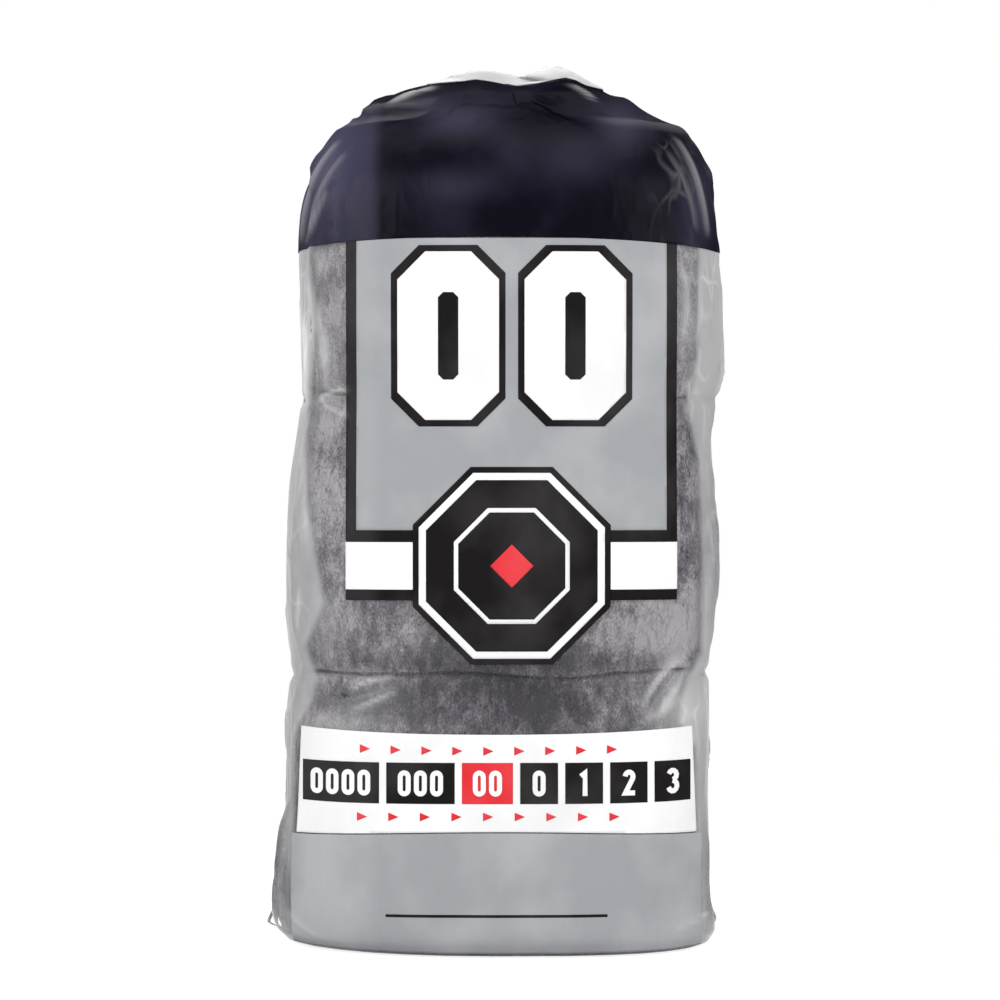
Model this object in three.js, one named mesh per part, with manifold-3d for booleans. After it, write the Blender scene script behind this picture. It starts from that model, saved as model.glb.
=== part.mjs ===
// A sealed polythene sleeve of steel wool pads, standing upright on its folded base.
// The pads are flattened rolls of wool, lying across the pack in rows and layers.
// The film is drawn together over the top row and welded into a short wavy seal.
// Millimetres, +Z up, printed front towards -Y, origin at the middle of the base.
import * as THREE from "three";
import { mergeVertices } from "three/addons/utils/BufferGeometryUtils.js";
import Module from "manifold-3d";

const wasm = await Module();
wasm.setup();

// Wool pads
const PAD_ROWS = 3;
const PAD_LAYERS = 4;
const PAD_LENGTH = 112;
const PAD_HEIGHT = 70;
const PAD_THICKNESS = 18.4;
const PAD_ROUND = 4;
const PAD_GAP = 0.4;

// Film sleeve
const FILM_WALL = 0.4;
const FILM_GAP = 0.4;
const DOME_HEIGHT = 13.8;
const SEAL_WIDTH = 45;
const SEAL_HEIGHT = 5.6;
const SEAL_THICKNESS = 0.9;
const SEAL_SHIFT = 5.6;
const SEAL_HUMP = 1.4;
const SEAL_WAVE = 1.2;
const SEAM_WIDTH = 9;
const SEAM_RISE = 0.4;
const VENT_RADIUS = 3;
const VENT_ASIDE = 26;
const EAR_REACH = 2.6;
const EAR_BOTTOM = 1.6;
const EAR_TIP = 4.6;
const EAR_TOP = 12;
const EAR_THICKNESS = 0.9;
const GUSSET_PINCH = 2.4;
const GUSSET_SPREAD = 9;

// Printed fields on the front
const INK_GAP = 0.3;
const INK_WALL = 0.3;
const FIELD_GAP = 0.3;
const HEADER_DROP = 30.2;
const PANEL_SHIFT = 4.4;
const PANEL_MARGIN = 15;
const FRAME_BAR = 2.4;
const BAND_ROWS = 1.31;
const BAND_HEIGHT = 12.5;
const BADGE_RADIUS = 25.1;
const BADGE_RIM = 1.5;
const BADGE_RING = 1.8;
const BADGE_HUB_RADIUS = 14.5;
const BADGE_HUB_RING = 0.8;
const BADGE_MARK = 5.4;
const NUMERAL_WIDTH = 25.5;
const NUMERAL_SPACE = 6.4;
const NUMERAL_STROKE = 10.2;
const NUMERAL_CHAMFER = 7;
const NUMERAL_OUTLINE = 1.3;
const NUMERAL_ABOVE = 3.7;
const NUMERAL_ROWS = 0.6;
const STRIP_SHIFT = 0.6;
const STRIP_BOTTOM = 31.8;
const STRIP_HEIGHT = 24.3;
const STRIP_SAG = 1.4;
const STRIP_MARGIN = 7;
const STRIP_FLARE = 1.2;
const GRADE_BOTTOM = 38.8;
const GRADE_HEIGHT = 10.3;
const GRADE_SPACE = 1.8;
const GRADE_MARGIN = 0.5;
const GRADE_SHARES = [19.8, 17.2, 12.8, 9.5, 9.5, 9.5, 9.5];
const GRADE_MARKED = 2;
const FOOTER_BOTTOM = 1.2;
const FOOTER_MARGIN = 4.4;
const RULE_BOTTOM = 10.4;
const RULE_HEIGHT = 0.7;
const RULE_MARGIN = 29;

// Sizes that follow from those above
const ROW_PITCH = PAD_HEIGHT + PAD_GAP;
const LAYER_PITCH = PAD_THICKNESS + PAD_GAP;
const CLEARANCE = FILM_WALL + FILM_GAP;
const STACK_TOP = PAD_ROWS * ROW_PITCH;
const BODY_HEIGHT = STACK_TOP + DOME_HEIGHT;
const HALF_WIDTH = PAD_LENGTH / 2 + CLEARANCE;
const HALF_DEPTH = (PAD_LAYERS * LAYER_PITCH - PAD_GAP) / 2 + CLEARANCE;
const HEADER_BOTTOM = STACK_TOP - HEADER_DROP;
const BAND_BOTTOM = BAND_ROWS * ROW_PITCH;
const PANEL_HALF_WIDTH = HALF_WIDTH - PANEL_MARGIN;
const STRIP_HALF_WIDTH = HALF_WIDTH - STRIP_MARGIN;
const FOOTER_HALF_WIDTH = HALF_WIDTH - FOOTER_MARGIN;
const RULE_HALF_WIDTH = HALF_WIDTH - RULE_MARGIN;

// The sleeve's outline, as its reach beyond the pads' own box at heights counted in rows of
// pads. A height past the last row is in the dome, where the film is drawn in to the seal.
const LEFT_REACH = [
  [0, 0], [0.06, 1.3], [0.2, 1.7], [0.31, 1.3], [0.44, -0.6], [0.54, -2], [0.85, -1.8],
  [1.01, -3.5], [1.2, -2], [1.68, -2.6], [1.9, -5], [2.01, -6.4], [2.1, -5.2], [2.25, -6],
  [2.57, -5], [2.78, -6.4], [2.91, -10.2], [3, -14.4], [3.2, -19.4], [3.5, -22.8], [3.8, -33],
  [4, -42],
];
const RIGHT_REACH = [
  [0, 0.6], [0.06, 1.5], [0.2, 0.2], [0.43, 0.1], [0.6, -0.6], [0.82, 0.3], [0.96, -0.9],
  [1.1, 0.5], [1.4, 2.2], [1.7, 1.1], [1.92, 0.3], [2.07, 2.4], [2.25, 3.2], [2.57, 1.9],
  [2.78, 0.8], [2.9, -1.6], [3, -4.8], [3.13, -8.6], [3.43, -18.4], [3.75, -26.5], [4, -35],
];
const FRONT_REACH = [
  [0, -0.6], [0.06, 0], [0.45, 0.3], [0.85, -0.8], [0.99, -2], [1.13, -0.8], [1.45, 0.4],
  [1.85, -0.6], [1.99, -1.9], [2.12, -0.6], [2.4, 0.2], [2.62, -0.4], [2.8, -2.4],
  [2.93, -6.6], [3, -11], [3.2, -16.5], [3.5, -22.5], [3.8, -30], [4, -35],
];
const BACK_REACH = [
  [0, -0.6], [0.06, 0], [0.5, 0.2], [0.99, -1.4], [1.5, 0.2], [1.99, -1.5], [2.4, 0],
  [2.62, -0.6], [2.8, -2.8], [2.93, -7], [3, -11.4], [3.2, -16.8], [3.5, -22.8],
  [3.8, -30], [4, -35],
];
const LEFT_BASE_SQUARENESS = 2.1;
const RIGHT_BASE_SQUARENESS = 3;
const SIDE_SQUARENESS = 3.2;
const TOP_SQUARENESS = 2.1;
const BASE_ROWS = 0.2;
const SHOULDER_ROWS = 0.4;
const COLUMNS = 32;

// Evenly spaced numbers from a to b, without b.
const steps = (a, b, count) => Array.from({ length: count }, (_, i) => a + ((b - a) * i) / count);
const RING_ROWS = [...steps(0, BASE_ROWS, 3), ...steps(BASE_ROWS, PAD_ROWS - 0.3, 15),
  ...steps(PAD_ROWS - 0.3, PAD_ROWS, 3), ...steps(PAD_ROWS, PAD_ROWS + 1, 4), PAD_ROWS + 1];

// A smooth curve through points of [height in rows, reach].
function reachCurve(points) {
  const slope = (i) => {
    const [a, b] = [points[Math.max(i - 1, 0)], points[Math.min(i + 1, points.length - 1)]];
    return (b[1] - a[1]) / (b[0] - a[0]);
  };
  return (row) => {
    const i = Math.max(0, points.findLastIndex((p, k) => p[0] <= row && k < points.length - 1));
    const [[r0, v0], [r1, v1]] = [points[i], points[i + 1]];
    const run = r1 - r0;
    const t = (row - r0) / run;
    const [m0, m1] = [slope(i) * run, slope(i + 1) * run];
    const [t2, t3] = [t * t, t * t * t];
    return (2 * t3 - 3 * t2 + 1) * v0 + (t3 - 2 * t2 + t) * m0 + (3 * t2 - 2 * t3) * v1 + (t3 - t2) * m1;
  };
}
const leftReach = reachCurve(LEFT_REACH);
const rightReach = reachCurve(RIGHT_REACH);
const frontReach = reachCurve(FRONT_REACH);
const backReach = reachCurve(BACK_REACH);

// Height of a row count: whole rows of pads first, and then the dome.
const heightOf = (row) =>
  Math.min(row, PAD_ROWS) * ROW_PITCH + Math.max(row - PAD_ROWS, 0) * DOME_HEIGHT;

// A geometry's solid, and a solid's geometry.
function solidOf(geometry) {
  const bare = new THREE.BufferGeometry();
  bare.setAttribute("position", geometry.getAttribute("position"));
  bare.setIndex(geometry.index);
  const merged = mergeVertices(bare, 1e-4);
  return new wasm.Manifold(new wasm.Mesh({
    numProp: 3,
    vertProperties: new Float32Array(merged.attributes.position.array),
    triVerts: new Uint32Array(merged.index.array),
  }));
}
function geometryOf(solid) {
  const mesh = solid.getMesh();
  const geometry = new THREE.BufferGeometry();
  geometry.setAttribute("position", new THREE.BufferAttribute(mesh.vertProperties, 3));
  geometry.setIndex(new THREE.BufferAttribute(mesh.triVerts, 1));
  return geometry;
}

// The filled shape of the sleeve, grown by outset on every side. Each ring is a rounded
// rectangle whose sides are pinched in along the gusset.
function sleeveBody(outset) {
  const positions = [];
  const stretch = (BODY_HEIGHT + 2 * outset) / BODY_HEIGHT;
  for (const row of RING_ROWS) {
    const domed = THREE.MathUtils.smoothstep(row, PAD_ROWS - SHOULDER_ROWS, PAD_ROWS + SHOULDER_ROWS);
    const based = 1 - THREE.MathUtils.smoothstep(row, 0, BASE_ROWS);
    const shapeRow = row > PAD_ROWS ? 3 + (row - PAD_ROWS) : (row * 3) / PAD_ROWS;
    const ends = Math.abs(2 * Math.min(row / PAD_ROWS, 1) - 1) ** 3;
    for (let c = 0; c < COLUMNS; c++) {
      const angle = (2 * Math.PI * c) / COLUMNS;
      const [cos, sin] = [Math.cos(angle), Math.sin(angle)];
      const baseSquareness = cos > 0 ? RIGHT_BASE_SQUARENESS : LEFT_BASE_SQUARENESS;
      const squareness = SIDE_SQUARENESS + (TOP_SQUARENESS - SIDE_SQUARENESS) * domed
        + (baseSquareness - SIDE_SQUARENESS) * based;
      const power = 2 / squareness;
      const reachX = cos > 0 ? rightReach(shapeRow) : leftReach(shapeRow);
      const reachY = sin > 0 ? backReach(shapeRow) : frontReach(shapeRow);
      const y = (HALF_DEPTH + reachY + outset) * Math.sign(sin) * Math.abs(sin) ** power;
      const crease = GUSSET_PINCH * ends * (1 - domed) * Math.exp(-((y / GUSSET_SPREAD) ** 2));
      const x = (HALF_WIDTH + reachX + outset - crease) * Math.sign(cos) * Math.abs(cos) ** power;
      positions.push(x, y, heightOf(row) * stretch - outset);
    }
  }
  const rings = RING_ROWS.length;
  const bottom = rings * COLUMNS;
  const peak = bottom + 1;
  positions.push(0, 0, -outset, 0, 0, BODY_HEIGHT + outset);
  const index = [];
  for (let c = 0; c < COLUMNS; c++) {
    const next = (c + 1) % COLUMNS;
    for (let r = 0; r < rings - 1; r++) {
      const [a, b] = [r * COLUMNS + c, r * COLUMNS + next];
      index.push(a, b, b + COLUMNS, a, b + COLUMNS, a + COLUMNS);
    }
    const top = (rings - 1) * COLUMNS;
    index.push(bottom, next, c, peak, top + c, top + next);
  }
  const geometry = new THREE.BufferGeometry();
  geometry.setAttribute("position", new THREE.Float32BufferAttribute(positions, 3));
  geometry.setIndex(index);
  return solidOf(geometry);
}

// A solid of an outline drawn in X and Z, running in Y from one value to another.
function plateSolid(shape, fromY, toY) {
  const geometry = new THREE.ExtrudeGeometry(shape, {
    depth: toY - fromY, bevelEnabled: false, curveSegments: 12,
  });
  geometry.rotateX(Math.PI / 2);
  geometry.translate(0, toY, 0);
  return solidOf(geometry);
}
const rectangle = (x0, z0, x1, z1) =>
  new THREE.Shape([[x0, z0], [x1, z0], [x1, z1], [x0, z1]].map(([x, z]) => new THREE.Vector2(x, z)));
const block = (x0, y0, z0, x1, y1, z1) => plateSolid(rectangle(x0, z0, x1, z1), y0, y1);

// The welded seal that stands on the top: a plate with two humps, waved from front to back.
function sealFin() {
  const bottom = BODY_HEIGHT - FILM_WALL - SEAL_WAVE;
  const points = 16;
  const outline = [];
  for (let i = 0; i <= points; i++) {
    const t = i / points;
    const rise = SEAL_HEIGHT - SEAL_HUMP + SEAL_HUMP * Math.cos((t * 2 - 0.55) * 2 * Math.PI);
    outline.push([t, BODY_HEIGHT + rise * Math.sin(Math.PI * t) ** 0.5]);
  }
  const across = (t) => SEAL_SHIFT + (t - 0.5) * SEAL_WIDTH;
  const lower = outline.map(([t]) => new THREE.Vector2(across(t), bottom)).slice(1, -1);
  const upper = outline.map(([t, z]) => new THREE.Vector2(across(t), z)).reverse();
  const geometry = new THREE.ExtrudeGeometry(new THREE.Shape([...lower, ...upper]), {
    depth: SEAL_THICKNESS, bevelEnabled: false,
  });
  geometry.rotateX(Math.PI / 2);
  geometry.translate(0, SEAL_THICKNESS / 2, 0);
  const position = geometry.getAttribute("position");
  for (let i = 0; i < position.count; i++) {
    const wave = Math.sin(((position.getX(i) - SEAL_SHIFT) / SEAL_WIDTH) * 4 * Math.PI);
    position.setY(i, position.getY(i) + SEAL_WAVE * wave);
  }
  return solidOf(geometry);
}

// The corner of a gusset that sticks out beside the base; side is -1 on the left.
function gussetEar(side, reach) {
  const edge = side < 0 ? leftReach : rightReach;
  const root = (HALF_WIDTH + edge(0.1)) * side;
  const inside = root - side * GUSSET_PINCH * 2;
  const points = [[inside, EAR_BOTTOM], [root, EAR_BOTTOM], [root + side * reach, EAR_TIP],
    [root, EAR_TOP], [inside, EAR_TOP]];
  const shape = new THREE.Shape(points.map(([x, z]) => new THREE.Vector2(x, z)));
  return plateSolid(shape, -EAR_THICKNESS / 2, EAR_THICKNESS / 2);
}

// The lap seam up the back, where the film's two edges are welded together, as far as the header.
function backSeam(outer) {
  const strip = block(-SEAM_WIDTH / 2, 0, EAR_TOP, SEAM_WIDTH / 2, 2 * HALF_DEPTH,
    HEADER_BOTTOM - FIELD_GAP);
  return sleeveBody(SEAM_RISE).intersect(strip).add(outer);
}

// The film: one bag with a lap seam, a seal, two gusset corners and a vent hole in the back.
function filmSleeve() {
  const ventRing = new THREE.CylinderGeometry(VENT_RADIUS, VENT_RADIUS, HALF_DEPTH, 16);
  ventRing.translate(VENT_ASIDE, HALF_DEPTH, (PAD_ROWS - 0.75) * ROW_PITCH);
  return backSeam(sleeveBody(0))
    .add(sealFin())
    .add(gussetEar(-1, EAR_REACH))
    .add(gussetEar(1, EAR_REACH / 3))
    .subtract(sleeveBody(-FILM_WALL))
    .subtract(solidOf(ventRing));
}

// One pad: a flattened roll with its axis across the pack, pressed to the sleeve's inside.
function woolPad(row, layer, cavity) {
  const bottom = CLEARANCE + row * ROW_PITCH;
  const front = -HALF_DEPTH + CLEARANCE + layer * LAYER_PITCH;
  const [h, t, r] = [PAD_HEIGHT, PAD_THICKNESS, Math.min(PAD_ROUND, PAD_THICKNESS / 2.2)];
  const section = new THREE.Shape();
  section.moveTo(r, 0);
  section.lineTo(t - r, 0).absarc(t - r, r, r, -Math.PI / 2, 0, false);
  section.lineTo(t, h - r).absarc(t - r, h - r, r, 0, Math.PI / 2, false);
  section.lineTo(r, h).absarc(r, h - r, r, Math.PI / 2, Math.PI, false);
  section.lineTo(0, r).absarc(r, r, r, Math.PI, 1.5 * Math.PI, false);
  const reach = 2 * HALF_WIDTH;
  const roll = new THREE.ExtrudeGeometry(section, {
    depth: 2 * reach, bevelEnabled: false, curveSegments: 4,
  });
  roll.rotateY(Math.PI / 2);
  roll.rotateX(Math.PI / 2);
  roll.translate(-reach, front, bottom);
  return solidOf(roll).intersect(cavity);
}

// The printed front: a thin skin over the film, cut into one field for each colour.
const inkSkin = sleeveBody(INK_GAP + INK_WALL).subtract(sleeveBody(INK_GAP));
const printed = (outline) => inkSkin.intersect(outline);
const frontPlate = (shape) => plateSolid(shape, -2 * HALF_DEPTH, 0);
const frontBox = (x0, z0, x1, z1) => frontPlate(rectangle(x0, z0, x1, z1));

// An eight-sided plate with level top and bottom edges, that far from the badge's middle.
function badgePlate(reach) {
  const corner = reach / Math.cos(Math.PI / 8);
  const points = steps(Math.PI / 8, 2.125 * Math.PI, 8).map((angle) => new THREE.Vector2(
    PANEL_SHIFT + corner * Math.cos(angle), badgeMiddle + corner * Math.sin(angle)));
  return frontPlate(new THREE.Shape(points));
}

// A rectangle with its corners cut off, centred on x.
function chamferedPlate(x, z0, width, height, chamfer) {
  const [a, b, c] = [x - width / 2, x + width / 2, chamfer];
  const top = z0 + height;
  const points = [[a + c, z0], [b - c, z0], [b, z0 + c], [b, top - c], [b - c, top], [a + c, top],
    [a, top - c], [a, z0 + c]];
  return frontPlate(new THREE.Shape(points.map(([px, pz]) => new THREE.Vector2(px, pz))));
}

const panelLeft = PANEL_SHIFT - PANEL_HALF_WIDTH;
const panelRight = PANEL_SHIFT + PANEL_HALF_WIDTH;
const bandTop = BAND_BOTTOM + BAND_HEIGHT;
const badgeMiddle = BAND_BOTTOM + BAND_HEIGHT / 2;
const panelBottom = bandTop + FRAME_BAR;
const frameTop = HEADER_BOTTOM - FIELD_GAP;
const rimInside = BADGE_RADIUS - BADGE_RIM;
const ringInside = rimInside - BADGE_RING;
const numeralHeight = NUMERAL_ROWS * ROW_PITCH;
const numeralBottom = HEADER_BOTTOM - NUMERAL_ABOVE - numeralHeight;
const numeralMiddles = [-1, 1].map(
  (side) => PANEL_SHIFT + (side * (NUMERAL_WIDTH + NUMERAL_SPACE)) / 2);

// A numeral's outline, grown by outset, and the slot in its middle.
const numeralPlate = (x, outset) => chamferedPlate(x, numeralBottom - outset,
  NUMERAL_WIDTH + 2 * outset, numeralHeight + 2 * outset, NUMERAL_CHAMFER + outset * 0.6);
const slotPlate = (x, outset) => chamferedPlate(x, numeralBottom + NUMERAL_STROKE - outset,
  NUMERAL_WIDTH - 2 * NUMERAL_STROKE + 2 * outset,
  numeralHeight - 2 * NUMERAL_STROKE + 2 * outset, NUMERAL_OUTLINE);

// The header covers the whole top, with a slot in it where the seal stands up.
function headerField() {
  const reach = 3 * HALF_WIDTH;
  const slotX = SEAL_WIDTH / 2 + FIELD_GAP;
  const slotY = SEAL_WAVE + SEAL_THICKNESS / 2 + FIELD_GAP;
  return block(-reach, -reach, HEADER_BOTTOM, reach, reach, BODY_HEIGHT + DOME_HEIGHT)
    .subtract(block(SEAL_SHIFT - slotX, -slotY, STACK_TOP, SEAL_SHIFT + slotX, slotY, 2 * BODY_HEIGHT));
}
function frameField() {
  const sides = frontBox(panelLeft, BAND_BOTTOM - FRAME_BAR, panelRight, frameTop);
  const inside = frontBox(panelLeft + FRAME_BAR, panelBottom, panelRight - FRAME_BAR, frameTop + FRAME_BAR);
  const band = frontBox(panelLeft - FRAME_BAR, BAND_BOTTOM, panelRight + FRAME_BAR, bandTop);
  return sides.subtract(inside).subtract(band).add(badgePlate(BADGE_RADIUS))
    .subtract(badgePlate(rimInside));
}
function panelField() {
  const gap = FRAME_BAR + FIELD_GAP;
  const field = frontBox(panelLeft + gap, panelBottom + FIELD_GAP, panelRight - gap, frameTop);
  return numeralMiddles.reduce(
    (rest, x) => rest.subtract(numeralPlate(x, NUMERAL_OUTLINE + 2 * FIELD_GAP)),
    field.subtract(badgePlate(BADGE_RADIUS + FIELD_GAP)));
}
function bandField(x0, x1) {
  return frontBox(x0, BAND_BOTTOM + FIELD_GAP, x1, bandTop - FIELD_GAP)
    .subtract(badgePlate(BADGE_RADIUS + FIELD_GAP));
}
const badgeMarkPlate = (reach) => chamferedPlate(
  PANEL_SHIFT, badgeMiddle - reach, 2 * reach, 2 * reach, reach * 0.98);

// The scale strip, whose top edge sags between its two ends.
function stripField() {
  const top = STRIP_BOTTOM + STRIP_HEIGHT;
  const [left, middle, right] = [-1, 0, 1].map((side) => STRIP_SHIFT + side * STRIP_HALF_WIDTH);
  const shape = new THREE.Shape();
  shape.moveTo(left - STRIP_FLARE, STRIP_BOTTOM);
  shape.lineTo(right + STRIP_FLARE, STRIP_BOTTOM);
  shape.lineTo(right, top + STRIP_SAG);
  shape.quadraticCurveTo(middle, top - STRIP_SAG, left, top + STRIP_SAG);
  return frontPlate(shape);
}
const gradeRun = 2 * (STRIP_HALF_WIDTH - GRADE_MARGIN);
const gradeTotal = GRADE_SHARES.reduce((sum, share) => sum + share, 0);
const gradeUnit = (gradeRun - GRADE_SPACE * (GRADE_SHARES.length - 1)) / gradeTotal;
const gradeBoxes = [];
let gradeLeft = STRIP_SHIFT - gradeRun / 2;
for (const share of GRADE_SHARES) {
  gradeBoxes.push([gradeLeft, gradeLeft + share * gradeUnit]);
  gradeLeft += share * gradeUnit + GRADE_SPACE;
}
const gradeField = ([x0, x1], outset) => frontBox(
  x0 - outset, GRADE_BOTTOM - outset, x1 + outset, GRADE_BOTTOM + GRADE_HEIGHT + outset);
const ruleField = (outset) => frontBox(STRIP_SHIFT - RULE_HALF_WIDTH - outset, RULE_BOTTOM - outset,
  STRIP_SHIFT + RULE_HALF_WIDTH + outset, RULE_BOTTOM + RULE_HEIGHT + outset);
const footerField = () => frontBox(STRIP_SHIFT - FOOTER_HALF_WIDTH, FOOTER_BOTTOM,
  STRIP_SHIFT + FOOTER_HALF_WIDTH, STRIP_BOTTOM - FIELD_GAP);

// Materials
const finish = (color, roughness, metalness) =>
  new THREE.MeshStandardMaterial({ color, roughness, metalness });
const FILM = new THREE.MeshStandardMaterial({
  color: 0xd9dadb, roughness: 0.2, metalness: 0, transparent: true, opacity: 0.3,
});
const WOOL = finish(0x77727a, 0.55, 0.6);
const NAVY = finish(0x17142c, 0.3, 0);
const SILVER = finish(0xa7a9ac, 0.35, 0.2);
const BLACK = finish(0x1f1d20, 0.3, 0);
const WHITE = finish(0xf6f6f6, 0.35, 0);
const RED = finish(0xe8353c, 0.35, 0);

// The pack
const pack = new THREE.Group();
function addNode(name, solid, material) {
  const mesh = new THREE.Mesh(geometryOf(solid), material);
  mesh.name = name;
  pack.add(mesh);
}

addNode("film_sleeve", filmSleeve(), FILM);

const cavity = sleeveBody(-CLEARANCE);
for (let row = 0; row < PAD_ROWS; row++) {
  for (let layer = 0; layer < PAD_LAYERS; layer++) {
    addNode(`wool_pad_row${row + 1}_layer${layer + 1}`, woolPad(row, layer, cavity), WOOL);
  }
}

addNode("print_header", printed(headerField()), NAVY);
addNode("print_frame", printed(frameField()), BLACK);
addNode("print_panel", printed(panelField()), SILVER);
addNode("print_band_left", printed(bandField(panelLeft, PANEL_SHIFT)), WHITE);
addNode("print_band_right", printed(bandField(PANEL_SHIFT, panelRight)), WHITE);
addNode("print_badge_ring",
  printed(badgePlate(rimInside - FIELD_GAP).subtract(badgePlate(ringInside))), WHITE);
addNode("print_badge_field", printed(
  badgePlate(ringInside - FIELD_GAP).subtract(badgePlate(BADGE_HUB_RADIUS + FIELD_GAP))), BLACK);
addNode("print_badge_hub_ring", printed(
  badgePlate(BADGE_HUB_RADIUS).subtract(badgePlate(BADGE_HUB_RADIUS - BADGE_HUB_RING))), WHITE);
addNode("print_badge_hub", printed(badgePlate(BADGE_HUB_RADIUS - BADGE_HUB_RING - FIELD_GAP)
  .subtract(badgeMarkPlate(BADGE_MARK + FIELD_GAP))), BLACK);
addNode("print_badge_mark", printed(badgeMarkPlate(BADGE_MARK)), RED);
numeralMiddles.forEach((x, i) => {
  const place = i ? "right" : "left";
  addNode(`print_numeral_outline_${place}`, printed(
    numeralPlate(x, NUMERAL_OUTLINE + FIELD_GAP).subtract(numeralPlate(x, FIELD_GAP))), BLACK);
  addNode(`print_numeral_${place}`, printed(
    numeralPlate(x, 0).subtract(slotPlate(x, FIELD_GAP))), WHITE);
  addNode(`print_numeral_slot_${place}`, printed(slotPlate(x, 0)), BLACK);
});
addNode("print_scale_strip", printed(
  gradeBoxes.reduce((rest, box) => rest.subtract(gradeField(box, FIELD_GAP)), stripField())), WHITE);
gradeBoxes.forEach((box, i) => {
  addNode(`print_grade_box_${i + 1}`, printed(gradeField(box, 0)), i === GRADE_MARKED ? RED : BLACK);
});
addNode("print_footer", printed(footerField().subtract(ruleField(FIELD_GAP))), SILVER);
addNode("print_footer_rule", printed(ruleField(0)), BLACK);

export default pack;
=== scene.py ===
# A printed polythene sleeve of steel wool pads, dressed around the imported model.
import math
import random

import bmesh
import bpy
import numpy as np
from mathutils import Matrix, Vector, noise
from mathutils.bvhtree import BVHTree


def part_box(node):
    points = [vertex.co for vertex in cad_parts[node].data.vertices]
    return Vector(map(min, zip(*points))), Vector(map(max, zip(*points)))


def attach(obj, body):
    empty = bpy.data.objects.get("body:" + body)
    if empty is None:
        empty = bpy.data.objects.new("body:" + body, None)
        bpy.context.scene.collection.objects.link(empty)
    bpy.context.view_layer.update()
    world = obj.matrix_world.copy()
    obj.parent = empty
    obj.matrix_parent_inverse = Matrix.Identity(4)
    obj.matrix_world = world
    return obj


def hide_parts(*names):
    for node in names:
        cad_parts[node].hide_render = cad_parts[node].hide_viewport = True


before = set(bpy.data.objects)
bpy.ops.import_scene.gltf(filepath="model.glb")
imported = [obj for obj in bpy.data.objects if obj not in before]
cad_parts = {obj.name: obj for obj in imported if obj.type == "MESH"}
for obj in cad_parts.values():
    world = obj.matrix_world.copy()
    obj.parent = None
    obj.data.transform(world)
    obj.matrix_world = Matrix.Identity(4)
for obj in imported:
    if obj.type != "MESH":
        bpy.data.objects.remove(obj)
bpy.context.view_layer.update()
MM = 0.001

# The camera stands level with the middle of the pack and looks square at the printed front,
# through a long lens, 700 mm away from the middle of the pack.
camera_data = bpy.data.cameras.new("camera")
camera_data.sensor_width = 36
camera_data.lens = 95.1
camera = bpy.data.objects.new("camera", camera_data)
bpy.context.scene.collection.objects.link(camera)
camera.location = (1.45 * MM, -700 * MM, 115 * MM)
camera.rotation_euler = (math.pi / 2, 0, 0)
bpy.context.scene.camera = camera
bpy.context.scene.view_settings.view_transform = "Standard"


# The studio is a white tent: a pale floor, a white surround and four large soft lamps.
# The surround and the floor show as white to the camera and in whatever mirrors them.
STUDIO_GREY = (0.8, 0.8, 0.8, 1)
SURROUND_LIGHT = 0.46
WHITE = (1, 1, 1, 1)
NEAR_GLOW = 0.8
# The floor's own shade fades to white between these distances from the pack, in metres.
FADE_FROM, FADE_TO = 0.08, 0.24
FLOOR_HALF_WIDTH = 3
FLOOR_LEVEL = -0.2 * MM


def new_object(name, data):
    """An object in the scene for a mesh, a curve or a lamp."""
    made = bpy.data.objects.new(name, data)
    bpy.context.scene.collection.objects.link(made)
    return made


def new_material(name):
    """A material with an empty node tree, and that tree."""
    material = bpy.data.materials.new(name)
    material.use_nodes = True
    material.node_tree.nodes.clear()
    return material, material.node_tree


def filled(tree, made, inputs):
    """A node with each of its inputs linked to a socket or set to a plain value."""
    for name, value in inputs.items():
        if isinstance(value, bpy.types.NodeSocket):
            tree.links.new(value, made.inputs[name])
        else:
            made.inputs[name].default_value = value
    return made


def new_node(tree, kind, inputs):
    return filled(tree, tree.nodes.new(kind), inputs)


def maths(tree, operation, first, second=0):
    """The result of a Math node. Each operand is a socket or a number."""
    made = new_node(tree, "ShaderNodeMath", {0: first, 1: second})
    made.operation = operation
    return made.outputs[0]


def blended(tree, share, first, second):
    """Two shaders mixed: the first where share is 0, the second where it is 1."""
    return new_node(tree, "ShaderNodeMixShader", {0: share, 1: first, 2: second}).outputs[0]


def seen_directly(tree):
    """1 for what the camera sees, also in a mirror or through glass, and 0 for lighting."""
    path = tree.nodes.new("ShaderNodeLightPath").outputs
    mirrored = maths(tree, "MAXIMUM", path["Is Camera Ray"], path["Is Glossy Ray"])
    return maths(tree, "MAXIMUM", mirrored, path["Is Transmission Ray"])


world = bpy.data.worlds.new("surround")
bpy.context.scene.world = world
world.use_nodes = True
tree = world.node_tree
tree.nodes.clear()
lighting = new_node(tree, "ShaderNodeBackground", {
    "Color": STUDIO_GREY, "Strength": SURROUND_LIGHT}).outputs[0]
backdrop = new_node(tree, "ShaderNodeBackground", {"Color": WHITE}).outputs[0]
new_node(tree, "ShaderNodeOutputWorld", {
    "Surface": blended(tree, seen_directly(tree), lighting, backdrop)})

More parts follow.
